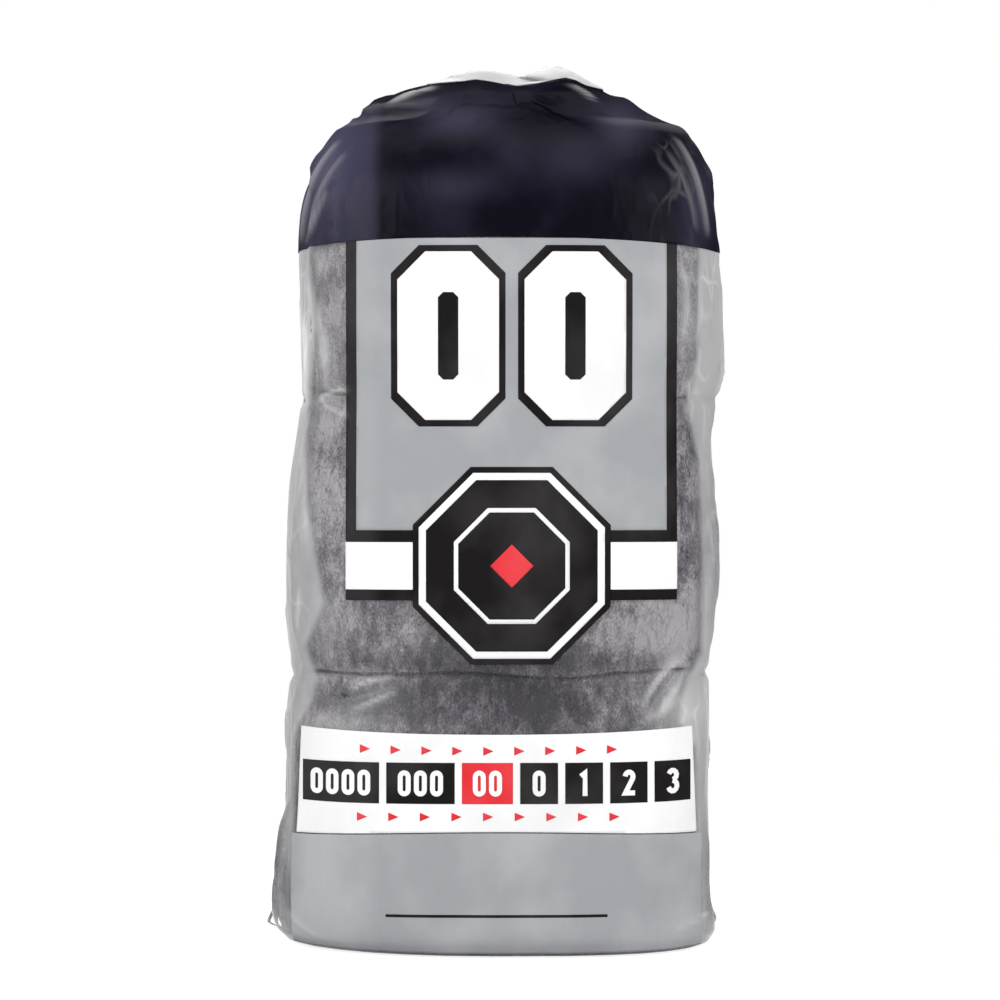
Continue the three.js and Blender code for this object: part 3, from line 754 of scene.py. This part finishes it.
def crease(across, mask, line, half_width, rise, painted_light):
    """Presses one crease into the film and paints light or shade along it by its sign, fading out at
    both its ends.
    """
    line = rounded(line)
    u, v = across, height
    low_u, high_u = min(p[0] for p in line) - half_width, max(p[0] for p in line) + half_width
    low_v, high_v = min(p[1] for p in line) - half_width, max(p[1] for p in line) + half_width
    near = np.where(mask & (u > low_u) & (u < high_u) & (v > low_v) & (v < high_v))[0]
    gap = np.full(len(near), 1e3)
    along = np.zeros(len(near))
    for number, ((u0, v0), (u1, v1)) in enumerate(zip(line, line[1:])):
        du, dv = u1 - u0, v1 - v0
        t = np.clip(((u[near] - u0) * du + (v[near] - v0) * dv) / (du * du + dv * dv), 0, 1)
        reach = np.hypot(u[near] - u0 - t * du, v[near] - v0 - t * dv)
        along = np.where(reach < gap, (number + t) / (len(line) - 1), along)
        gap = np.minimum(gap, reach)
    fade = np.sin(math.pi * np.clip(along, 0.02, 0.98)) ** 0.6
    crease_move[near] += rise * MM * fade * np.clip(1 - gap / half_width, 0, 1) ** 1.3
    painted_crease_light[near] += painted_light * fade * np.exp(-(gap / (0.5 * half_width)) ** 2)


for line, half_width, rise, painted_light in FRONT_CREASES:
    crease(place[:, 0] / MM, front_half, line, half_width, rise, painted_light)
everywhere = np.ones(len(place), dtype=bool)
for line, half_width, rise, painted_light in ROUND_CREASES:
    crease(way_round, everywhere, line, half_width, rise, painted_light)
chance = random.Random(CREASE_SEED)
for _ in range(LOOSE_CREASES):
    side = chance.choice((-1, 1))
    u, v = side * chance.uniform(62, 172), chance.uniform(8, 205)
    lean, run, bow = chance.gauss(0, 0.5), chance.uniform(6, 20), chance.uniform(-2, 2)
    line = [(u, v), (u + lean * run / 2 + bow, v + run / 2), (u + lean * run, v + run)]
    rise = chance.uniform(0.3, 0.8) * chance.choice((-1, 1, 1))
    crease(way_round, everywhere, line, chance.uniform(1.2, 2.4), rise, 0.25 * rise)

# The gusset's fold runs up the middle of each side, with painted shade along its groove and a
# painted highlight beside it, and the lap seam up the middle of the back, where the film lies double
# between two pale lines painted along its edges. These measures are in mm.
SEAM_HALF_WIDTH = 4.5
SEAM_SLOPE = 0.6
SEAM_RISE = 0.35
SEAM_LINE = 0.7
SEAM_LIGHT = 0.3
SEAM_MILK = 0.14
FOLD_LINE = [(0, 6), (1, 62), (-1.2, 122), (0, 178)]
side_middle = np.interp(math.pi / 2, bearings, travelled) / MM
for side in (-1, 1):
    fold_line = [(side * (side_middle + aside), up) for aside, up in FOLD_LINE]
    crease(way_round, everywhere, fold_line, 2.6, -0.9, -0.12)
    crease(way_round, everywhere, [(u + side * 1.6, v) for u, v in fold_line], 1.2, 0.3, 0.3)
seam = (place[:, 1] > 0) * smooth_step(8, 14, height) * (1 - smooth_step(180, 184, height))
seam_off = np.abs(place[:, 0]) / MM
past_lap = smooth_step(SEAM_HALF_WIDTH - SEAM_SLOPE, SEAM_HALF_WIDTH + SEAM_SLOPE, seam_off)
crease_move += seam * SEAM_RISE * MM * (1 - past_lap)
painted_crease_light += seam * SEAM_LIGHT * np.exp(-((seam_off - SEAM_HALF_WIDTH) / SEAM_LINE) ** 2)

# Gathers run up the dome to the seal, deeper towards the top. The film stands a little off the
# wool from the shoulders up.
GATHER_DEPTH = 0.45
GATHERS_PER_MM = (0.11, 0.02)
SHOULDER_RISE = 0.25
gather = smooth_step(200, 218, height) * (1 - smooth_step(220.5, 222, height))
pleat = np.array([abs(noise.noise(Vector((u * GATHERS_PER_MM[0], v * GATHERS_PER_MM[1], 3.7))))
                  for u, v in zip(way_round, height)])
crease_move += gather * GATHER_DEPTH * MM * (0.35 - 2 * pleat)
crease_move += SHOULDER_RISE * MM * smooth_step(190, 202, height)

# The gusset's corners stick out beside the base, farther on the left.
EARS = {-1: (3, 3, 10), 1: (2.5, 5.5, 13)}
EAR_BOTTOM = 0.6
for side, (reach, tip, top) in EARS.items():
    up = np.minimum((height - EAR_BOTTOM) / (tip - EAR_BOTTOM), (top - height) / (top - tip))
    thin = np.clip(1 - np.abs(place[:, 1]) / (1.6 * MM), 0, 1)
    place[:, 0] += side * reach * MM * np.clip(up, 0, 1) * thin * (side * place[:, 0] > 40 * MM)

# Where the film stands off the wool it looks milky: outside these lines of (z, x) in mm.
LEFT_CLING = [(0, -51.5), (52, -51), (58, -50), (63.6, -46.4), (69.5, -44.8), (77.5, -47.9),
              (89, -43), (110, -46.9), (128, -48), (142, -47.4), (159, -45.5), (177, -47),
              (190, -46), (203, -42), (214, -37), (226, -34)]
RIGHT_CLING = [(0, 52), (52, 51), (59, 47), (65, 47.5), (70, 49.5), (76, 53), (95, 53), (125, 52),
               (138, 49), (150, 51.5), (177, 52), (190, 52), (203, 48.5), (214, 42), (226, 38)]
# Patches of milkier film, clearer where the share is below 0: x and z of the middle, half width and
# half height in mm, and share. The clear patches low at both sides let the darker wool show through,
# for the shade in the gussets.
MILK_PATCHES = [
    (46, 61, 6, 7, 0.35), (-36, 59, 11, 4, 0.2), (-44, 152, 5, 16, 0.16), (48, 162, 4, 14, 0.2),
    (-30, 66, 7, 3, 0.12), (-43, 82, 4, 8, 0.2), (-57, 16, 5, 22, -0.6), (57, 16, 5, 18, -0.34),
    (2, 66, 30, 12, -0.06), (57, 105, 5, 20, -0.25), (48, 110, 5, 30, -0.08),
]
# Painted shade on the film low at both sides, where the gussets lie in shade.
GUSSET_PAINTED_SHADE = [(-57, 15, 5, 24, -0.13), (57, 15, 5, 20, -0.05)]
CLING_BLUR = 1.2
CLEAR_MILK = 0.1
LOOSE_MILK = 0.62
BACK_MILK = 0.3
LIP_MILK = 0.95
LIP_LIGHT = 0.13
x_mm = place[:, 0] / MM
off_left = along_line(LEFT_CLING, height) - x_mm
off_right = x_mm - along_line(RIGHT_CLING, height)
off_wool = smooth_step(-CLING_BLUR, CLING_BLUR, np.maximum(off_left, off_right))
front_milk = CLEAR_MILK + (LOOSE_MILK - CLEAR_MILK) * off_wool
front_milk += soft_patches(place[:, 0], place[:, 2], MILK_PATCHES)
back_share = smooth_step(5, 25, place[:, 1] / MM)
back_milk = BACK_MILK + 0.3 * smooth_step(46, 57, np.abs(x_mm))
milk = front_milk * (1 - back_share) + back_milk * back_share
milk += SEAM_MILK * seam * (seam_off < SEAM_HALF_WIDTH)
milk *= 1 - 0.4 * np.exp(-(place[:, 1] / (9 * MM)) ** 2) * (height < 200)
on_lip = smooth_step(-0.3, 0.3, height - along_line(SEAL_ROOT, x_mm))
milk = np.maximum(milk, LIP_MILK * on_lip)
painted_crease_light += LIP_LIGHT * on_lip
place += outward * crease_move[:, None]
film_shape.vertices.foreach_set("co", place.ravel())
film_shape.update()
paint(film_shape, "milk", np.clip(milk, 0, 1))
painted_crease_light += front_half * soft_patches(place[:, 0], place[:, 2], GUSSET_PAINTED_SHADE)
painted_crease_light *= 1 - 0.7 * back_share * smooth_step(178, 186, height)
paint(film_shape, "fold", painted_crease_light)
loose = smooth_step(37, 46, np.abs(x_mm)) * (0.35 + 0.65 * smooth_step(176, 190, height))
loose = np.maximum(loose, 0.25 * back_share)
paint(film_shape, "loose", loose * (1 - smooth_step(212, 220, height)))

# The film's painted shade in crease grooves, its own haze, and its painted highlight on crease ridges,
# glints and the lip.
FILM_PAINTED_SHADE = "3a3740"
FILM_HAZE = "c9c9cb"
FILM_PAINTED_HIGHLIGHT = "f4f4f4"
# How sharp the painted glint lines are, and how much painted highlight they add to the film.
GLINT_SHARPNESS = 30
GLINT_LIGHT = 0.28


def new_group(name):
    """An empty group of nodes that gives one number, for several materials to share."""
    group = bpy.data.node_groups.new(name, "ShaderNodeTree")
    group.interface.new_socket("Value", in_out="OUTPUT", socket_type="NodeSocketFloat")
    return group


def shared(tree, group):
    made = tree.nodes.new("ShaderNodeGroup")
    made.node_tree = group
    return made.outputs[0]


def off_middle(tree, noise_value):
    """How far a noise is from its middle value: 0 along thin winding lines."""
    return maths(tree, "ABSOLUTE", maths(tree, "SUBTRACT", noise_value, 0.5))


# Glints: painted highlights, thin pale lines painted where loose film is crinkled, as a mask from 0 to
# 1.
glints = new_group("film_glints")
glint_lines = 0
for scale, offset in (((120, 120, 34), (3, 8, 1)), ((70, 70, 60), (7, 1, 9))):
    gap = off_middle(glints, stretched_noise(glints, scale, 1.5, offset))
    thin = maths(glints, "SUBTRACT", 1, times(glints, gap, GLINT_SHARPNESS))
    glint_lines = maths(glints, "MAXIMUM", glint_lines, thin)
patchy = stretched_noise(glints, (90, 90, 50), 1, (4, 4, 4))
patchy = maths(glints, "MAXIMUM", maths(glints, "SUBTRACT", patchy, 0.42), 0)
mask = times(glints, times(glints, glint_lines, times(glints, patchy, 4)),
             painted(glints, "loose"))
new_node(glints, "NodeGroupOutput", {0: mask})

# The film's fine crinkle, as a height that the film and the ink on it share.
crinkle = new_group("film_crinkle")
soft = stretched_noise(crinkle, (150, 150, 70), 2, (1, 4, 2))
ridge = off_middle(crinkle, stretched_noise(crinkle, (95, 95, 45), 2, (6, 2, 5)))
new_node(crinkle, "NodeGroupOutput", {
    0: plus(crinkle, times(crinkle, soft, 0.5), times(crinkle, ridge, -2.2))})

# The film's colour ramps from painted shade through its haze to painted highlight, by the painted map
# of crease light and shade.
film, tree = new_material("clear_film")
wisps = stretched_noise(tree, (60, 60, 22), 3, (5, 2, 8))
haze = times(tree, painted(tree, "milk"), plus(tree, times(tree, wisps, 0.8), 0.6))
fold = plus(tree, painted(tree, "fold"), times(tree, shared(tree, glints), GLINT_LIGHT))
haze = plus(tree, haze, times(tree, maths(tree, "ABSOLUTE", fold), 0.9))
haze = maths(tree, "MINIMUM", haze, 0.95)
shade = ramp(tree, plus(tree, fold, 0.5), [
    (0, colour(FILM_PAINTED_SHADE)), (0.5, colour(FILM_HAZE)), (0.8, colour(FILM_PAINTED_HIGHLIGHT))])
crinkled = bumped(tree, shared(tree, crinkle), 0.8 * MM)
matt = new_node(tree, "ShaderNodeBsdfPrincipled", {
    "Roughness": 0.4, "Base Color": shade, "Normal": crinkled}).outputs[0]
gloss = new_node(tree, "ShaderNodeBsdfGlossy", {"Roughness": 0.16, "Normal": crinkled}).outputs[0]
clear = tree.nodes.new("ShaderNodeBsdfTransparent").outputs[0]
fresnel = new_node(tree, "ShaderNodeFresnel", {"IOR": 1.2}).outputs[0]
new_node(tree, "ShaderNodeOutputMaterial", {
    "Surface": blended(tree, fresnel, blended(tree, haze, clear, matt), gloss)})

# The vent hole in the back is cut round out of the film.
VENT_RADIUS = 3 * MM
VENT_MIDDLE = Vector((26, 0, 158.4)) * MM
VENT_SIDES = 16


def from_vent(face):
    """How far a face on the back is from the vent hole's middle, seen from behind."""
    away = face.calc_center_median() - VENT_MIDDLE
    return math.hypot(away.x, away.z) if face.calc_center_median().y > 0 else 1


film_bm = bmesh.new()
film_bm.from_mesh(film_shape)
for number in range(VENT_SIDES):
    angle = number * 2 * math.pi / VENT_SIDES
    outward = Vector((math.cos(angle), 0, math.sin(angle)))
    near = [f for f in film_bm.faces if from_vent(f) < 3 * VENT_RADIUS]
    near += list({e for f in near for e in f.edges}) + list({v for f in near for v in f.verts})
    bmesh.ops.bisect_plane(film_bm, geom=near, dist=1e-7, plane_no=outward,
                           plane_co=VENT_MIDDLE + outward * VENT_RADIUS)
bmesh.ops.delete(film_bm, geom=[f for f in film_bm.faces if from_vent(f) < VENT_RADIUS * 0.99],
                 context="FACES")
new_piece("sleeve_film", film_bm, film, ["film_sleeve"])


# The print is ink on the film's outside: each field of colour is a thin skin cut from the
# film's own shape, so that it follows every fold. Later colours lie on top of earlier ones.
INK_STEP = 0.05 * MM
INK_THICKNESS = 0.03 * MM
INK_GLOSS = 0.005
# The colour of the painted highlights that creases and glints put on the ink.
INK_GLINT = "d8d8da"
# Left of one fold in the header, the film is hazy as a whole.
VEIL = 0.3
VEIL_EDGE = (27.5, 32)
VEIL_TOP = (212, 222)
# Lighter patches in the ink, partly painted reflection of the soft lamps in the glossy film and partly
# the film's haze: x and z of the middle, half width and half height in mm, and strength.
SHEEN_AND_HAZE_PATCHES = [
    (-43, 202, 10, 17, 0.45), (-8, 212, 9, 5, 0.34), (-17, 217, 6, 4, 0.25), (33, 212, 6, 8, 0.3),
    (20, 201, 10, 6, 0.26), (-10, 194, 9, 4, 0.2), (51, 190, 5, 12, 0.3), (4, 203, 6, 5, 0.14),
]
sheen_and_haze_map = soft_patches(place[:, 0], place[:, 2], SHEEN_AND_HAZE_PATCHES)
sheen_and_haze_map += front_half * VEIL * smooth_step(*VEIL_EDGE, -x_mm) * (1 - smooth_step(*VEIL_TOP, height))
paint(film_shape, "cloud", sheen_and_haze_map)


def mixed(tree, share, first, second):
    """Two colours mixed. The inputs and the output are the ones that a Mix node has for colours."""
    made = tree.nodes.new("ShaderNodeMix")
    made.data_type = "RGBA"
    return filled(tree, made, {0: share, 6: first, 7: second}).outputs[2]


def ink_material(name, base, cloud, share, glint_share=0):
    """Glossy ink with painted soft reflections and haze in its colour, from noise and the painted map,
    and painted highlights along creases and glints.
    """
    material, tree = new_material(name)
    soft = stretched_noise(tree, (48, 48, 42), 3, (2, 6, 4))
    sheen_and_haze_share = ramp(tree, soft, [(0.45, (0, 0, 0, 1)), (0.7, (share, share, share, 1))])
    sheen_and_haze_share = maths(tree, "MINIMUM", plus(tree, sheen_and_haze_share, painted(tree, "cloud")), 1)
    glint = times(tree, shared(tree, glints), glint_share)
    glint = maths(tree, "MAXIMUM", painted(tree, "fold"), glint)
    shade = mixed(tree, sheen_and_haze_share, colour(base), colour(cloud))
    shade = mixed(tree, glint, shade, colour(INK_GLINT))
    crinkled = bumped(tree, shared(tree, crinkle), 0.5 * MM)
    matt = new_node(tree, "ShaderNodeBsdfPrincipled", {
        "Roughness": 0.36, "Specular IOR Level": 0, "Base Color": shade, "Normal": crinkled})
    gloss = new_node(tree, "ShaderNodeBsdfGlossy", {"Roughness": 0.3, "Normal": crinkled})
    new_node(tree, "ShaderNodeOutputMaterial", {
        "Surface": blended(tree, INK_GLOSS, matt.outputs[0], gloss.outputs[0])})
    return material


# Each ink has its own colour, the colour of its painted sheen and haze, how much noise sheen it gets,
# and how much of the painted glints.
INKS = {
    "ink_navy": ink_material("navy_ink", "070511", "514f66", 0.11, 0.1),
    "ink_silver": ink_material("silver_ink", "a1a3a7", "b2b4b7", 1),
    "ink_black": ink_material("black_ink", "1a1718", "4a484a", 0.4),
    "ink_white": ink_material("white_ink", "fbfbfb", "f1f1f2", 1),
    "ink_red": ink_material("red_ink", "e4333c", "f0585e", 0.6),
}

film_fronts = bmesh.new()
film_fronts.from_mesh(film_shape)
bmesh.ops.delete(film_fronts, geom=[f for f in film_fronts.faces if f.normal.y > -0.05
                                    or f.calc_center_median().y > -3 * MM], context="FACES")
front_shape = bpy.data.meshes.new("front_shape")
film_fronts.to_mesh(front_shape)
film_fronts.free()


def raised(bm, layer):
    """Lifts a piece of the film's shape off the film, by its place in the order of inks."""
    bm.normal_update()
    facing = bm.verts.layers.float_vector.new("facing")
    for vert in bm.verts:
        vert[facing] = vert.normal
        vert.co += vert.normal * INK_STEP * layer
    outside = bmesh.ops.extrude_face_region(bm, geom=bm.faces[:])["geom"]
    for vert in (g for g in outside if isinstance(g, bmesh.types.BMVert)):
        vert.co += Vector(vert[facing]) * INK_THICKNESS
    bm.verts.layers.float_vector.remove(facing)
    bmesh.ops.recalc_face_normals(bm, faces=bm.faces)


def ink_piece(name, bm, layer, slot, replaced):
    raised(bm, layer)
    new_piece(name, bm, INKS[slot], replaced)


def cut_off(bm, point, outward):
    """Cuts off what lies beyond a flat plane."""
    bmesh.ops.bisect_plane(bm, geom=bm.verts[:] + bm.edges[:] + bm.faces[:], dist=1e-7,
                           plane_co=point, plane_no=outward, clear_outer=True)


def cut_out(shape, outline):
    """The part of a film shape inside an outline of (x, z) points that turns one way."""
    bm = bmesh.new()
    bm.from_mesh(shape)
    for (x0, z0), (x1, z1) in zip(outline, outline[1:] + outline[:1]):
        cut_off(bm, (x0, 0, z0), Vector((z1 - z0, 0, x0 - x1)).normalized())
    return bm


def rectangle(x0, z0, x1, z1):
    return [(x0, z0), (x1, z0), (x1, z1), (x0, z1)]


def print_field(name, outline, layer, slot, replaced):
    ink_piece(name, cut_out(front_shape, outline), layer, slot, replaced)


def box_outline(node):
    """The outline of a CAD field, seen from the front."""
    low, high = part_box(node)
    return rectangle(low.x, low.z, high.x, high.z)


def cut_above(bm, line):
    """Cuts off what lies above a curved line of (x, z) in mm, seen from the front."""
    for vert in bm.verts:
        vert.co.z -= along_line(line, vert.co.x / MM) * MM
    cut_off(bm, (0, 0, 0), (0, 0, 1))
    for vert in bm.verts:
        vert.co.z += along_line(line, vert.co.x / MM) * MM


def cut_below(bm, line):
    for vert in bm.verts:
        vert.co.z *= -1
    cut_above(bm, [(x, -z) for x, z in line])
    for vert in bm.verts:
        vert.co.z *= -1


# The header's lower edge bows down towards the sides.
HEADER_BOW = 1.9
BOW_HALF_WIDTH = 55
header_bm = bmesh.new()
header_bm.from_mesh(film_shape)
header_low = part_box("print_header")[0].z / MM
cut_below(header_bm, [(x, header_low - HEADER_BOW * (x / BOW_HALF_WIDTH) ** 2)
                      for x in range(-66, 67, 6)])
cut_above(header_bm, SEAL_ROOT)
ink_piece("header_ink", header_bm, 3, "ink_navy", ["print_header"])

FIELD_GAP = 0.3 * MM
FRAME_BAR = 2.4 * MM
band_left, band_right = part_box("print_band_left"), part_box("print_band_right")
frame_low, frame_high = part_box("print_frame")
frame_bottom = band_left[0].z - FIELD_GAP - FRAME_BAR
print_field("frame_ink", rectangle(frame_low.x, frame_bottom, frame_high.x, frame_high.z), 1,
            "ink_black", ["print_frame"])
print_field("panel_ink", box_outline("print_panel"), 2, "ink_silver", ["print_panel"])
print_field("band_ink", rectangle(band_left[0].x, band_left[0].z, band_right[1].x, band_left[1].z),
            3, "ink_white", ["print_band_left", "print_band_right"])


def octagon(node, grow=0):
    """The eight corners of a badge part's outline, from its box."""
    low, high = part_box(node)
    middle, reach = (low + high) / 2, (high.x - low.x) / 2 + grow
    corner = reach / math.cos(math.pi / 8)
    return [(middle.x + corner * math.cos(a), middle.z + corner * math.sin(a))
            for a in (math.pi / 8 + k * math.pi / 4 for k in range(8))]


BADGE_RIM = 1.5 * MM
BADGE_PARTS = [("ring", "ink_white"), ("field", "ink_black"), ("hub_ring", "ink_white"),
               ("hub", "ink_black")]
print_field("badge_rim_ink", octagon("print_badge_ring", BADGE_RIM), 4, "ink_black", [])
for layer, (part, slot) in enumerate(BADGE_PARTS, 5):
    node = f"print_badge_{part}"
    print_field(f"badge_{part}_ink", octagon(node), layer, slot, [node])
low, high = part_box("print_badge_mark")
middle = (low + high) / 2
print_field("badge_mark_ink", [(middle.x, low.z), (high.x, middle.z), (middle.x, high.z),
                               (low.x, middle.z)], 9, "ink_red", ["print_badge_mark"])


def chamfered(node, cut):
    """The outline of a CAD field with its four corners cut off."""
    low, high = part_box(node)
    return [(low.x + cut, low.z), (high.x - cut, low.z), (high.x, low.z + cut),
            (high.x, high.z - cut), (high.x - cut, high.z), (low.x + cut, high.z),
            (low.x, high.z - cut), (low.x, low.z + cut)]


# Each numeral is a white figure with a slot, on a black outline.
NUMERAL_PARTS = [("numeral_outline", 7 * MM, "ink_black"), ("numeral", 7 * MM, "ink_white"),
                 ("numeral_slot", 1.3 * MM, "ink_black")]
for side in ("left", "right"):
    for layer, (part, corner, slot) in enumerate(NUMERAL_PARTS, 4):
        node = f"print_{part}_{side}"
        print_field(f"{part}_ink_{side}", chamfered(node, corner), layer, slot, [node])

# The scale strip sags: its top edge lies lower in the middle, and its ends flare downwards.
# These measures are in mm.
STRIP_SAG = 1.4
STRIP_DROP = 1.3
STRIP_FLARE = 1.2
STRIP_BELOW = 2
strip_low, strip_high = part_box("print_scale_strip")
strip_middle = (strip_low.x + strip_high.x) / 2 / MM
strip_half = (strip_high.x - strip_low.x) / 2 / MM - STRIP_FLARE
strip_bottom = strip_low.z / MM
flared = strip_half + STRIP_FLARE
strip_base = strip_low.z - STRIP_BELOW * MM


def bowed(height, ends):
    """A line across the strip, at that height in its middle and ends higher at both its ends."""
    return [(strip_middle + strip_half * u, height + ends * u * u)
            for u in np.linspace(-1.1, 1.1, 23)]


strip_bm = cut_out(front_shape, [
    ((strip_middle - flared) * MM, strip_base), ((strip_middle + flared) * MM, strip_base),
    ((strip_middle + strip_half) * MM, strip_high.z),
    ((strip_middle - strip_half) * MM, strip_high.z)])
cut_above(strip_bm, bowed(strip_high.z / MM - STRIP_SAG, STRIP_SAG))
cut_below(strip_bm, bowed(strip_bottom, -STRIP_DROP))
ink_piece("strip_ink", strip_bm, 1, "ink_white", ["print_scale_strip"])

MARKED_GRADE = 3
for number in range(1, 8):
    node = f"print_grade_box_{number}"
    print_field(f"grade_box_ink_{number}", box_outline(node), 2,
                "ink_red" if number == MARKED_GRADE else "ink_black", [node])
footer_bm = cut_out(front_shape, box_outline("print_footer"))
cut_above(footer_bm, bowed(strip_bottom - FIELD_GAP / MM, -STRIP_DROP))
ink_piece("footer_ink", footer_bm, 1, "ink_silver", ["print_footer"])
print_field("footer_rule_ink", box_outline("print_footer_rule"), 2, "ink_black",
            ["print_footer_rule"])

# Plain grade numbers stand on the boxes, in narrow bold figures drawn with one even stroke. A
# figure is a line of (x, z) in mm from its middle. A row of small arrowheads above the boxes and
# one below point from the finest grade to the coarsest.
GRADES = ["0000", "000", "00", "0", "1", "2", "3"]
FIGURE_STROKE = 1.25
FIGURE_PITCH = 4.05
FIGURE_HALF_WIDTH = 1
FIGURE_RISE = 2.62
FIGURE_LAYER = 5


def bend(x, z, wide, tall, start, end, count=9):
    """Points along part of an oval, from one angle to another in degrees."""
    return [(x + wide * math.cos(math.radians(a)), z + tall * math.sin(math.radians(a)))
            for a in np.linspace(start, end, count)]


FIGURES = {
    "0": [bend(0, FIGURE_RISE - 1, FIGURE_HALF_WIDTH, 1, 0, 180)
          + bend(0, 1 - FIGURE_RISE, FIGURE_HALF_WIDTH, 1, 180, 360)
          + [(FIGURE_HALF_WIDTH, FIGURE_RISE - 1)]],
    "1": [[(-0.85, 1.75), (0.2, FIGURE_RISE), (0.2, -FIGURE_RISE - 0.55)]],
    "2": [bend(0, FIGURE_RISE - 1.15, FIGURE_HALF_WIDTH, 1.15, 175, -30)
          + [(-0.95, -FIGURE_RISE), (1.5, -FIGURE_RISE)]],
    "3": [bend(-0.1, FIGURE_RISE - 1.15, FIGURE_HALF_WIDTH, 1.15, 165, -90),
          bend(-0.1, 1.35 - FIGURE_RISE, FIGURE_HALF_WIDTH + 0.1, 1.35, 90, -165)],
}
ARROW_COUNT = 9
ARROW_WIDTH, ARROW_HALF_HEIGHT = 2.6, 1.1
ARROW_ROWS = [(52, 1, -32.5, 29.6), (35.6, -0.4, -33.2, 30.2)]
front_tree = BVHTree.FromPolygons([v.co for v in front_shape.vertices],
                                  [p.vertices for p in front_shape.polygons])


def on_front(x, z, lift):
    """The printed front at that x and z, lifted off the film."""
    spot, normal, _, _ = front_tree.ray_cast(Vector((x, -0.2, z)), Vector((0, 1, 0)))
    return spot + normal * lift


def figure(bm, line, x_middle, z_middle):
    """One figure as a flat ribbon along its line, with square mitred corners."""
    points = [Vector(p) for p in line]
    closed = (points[0] - points[-1]).length < 0.01
    rows = []
    for number, point in enumerate(points):
        before = points[-2] if closed and number == 0 else points[max(number - 1, 0)]
        after = points[1] if closed and number == len(points) - 1 else points[min(
            number + 1, len(points) - 1)]
        into, away = (point - before).normalized(), (after - point).normalized()
        heading = (into + away).normalized()
        share = 1 / max(0.5, heading.dot(away if away.length else into))
        aside = Vector((-heading.y, heading.x)) * FIGURE_STROKE / 2 * share
        rows.append([bm.verts.new(on_front((x_middle + p.x) * MM, (z_middle + p.y) * MM,
                                           FIGURE_LAYER * INK_STEP))
                     for p in (point - aside, point, point + aside)])
    for (a, b, c), (d, e, f) in zip(rows, rows[1:]):
        bm.faces.new((a, b, e, d))
        bm.faces.new((b, c, f, e))


for number, grade in enumerate(GRADES, 1):
    low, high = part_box(f"print_grade_box_{number}")
    middle = (low + high) / 2 / MM
    bm = bmesh.new()
    for place_in_row, digit in enumerate(grade):
        x_middle = middle.x + (place_in_row - (len(grade) - 1) / 2) * FIGURE_PITCH
        for line in FIGURES[digit]:
            figure(bm, line, x_middle, middle.z)
    bmesh.ops.remove_doubles(bm, verts=bm.verts, dist=WELD)
    outside = bmesh.ops.extrude_face_region(bm, geom=bm.faces[:])["geom"]
    bmesh.ops.translate(bm, verts=[g for g in outside if isinstance(g, bmesh.types.BMVert)],
                        vec=(0, -INK_THICKNESS, 0))
    bmesh.ops.recalc_face_normals(bm, faces=bm.faces)
    piece = new_piece(f"grade_number_{number}", bm, INKS["ink_white"], [])
    piece.data.shade_flat()

for height_mid, bow, first, last in ARROW_ROWS:
    for step in range(ARROW_COUNT):
        x = first + (last - first) * step / (ARROW_COUNT - 1)
        z = height_mid + bow * ((x - strip_middle) / strip_half) ** 2
        tip, back = (x + ARROW_WIDTH / 2) * MM, (x - ARROW_WIDTH / 2) * MM
        print_field(f"arrow_{int(height_mid)}_{step + 1}", [
            (back, (z - ARROW_HALF_HEIGHT) * MM), (tip, z * MM), (back, (z + ARROW_HALF_HEIGHT) * MM)],
            2, "ink_red", [])
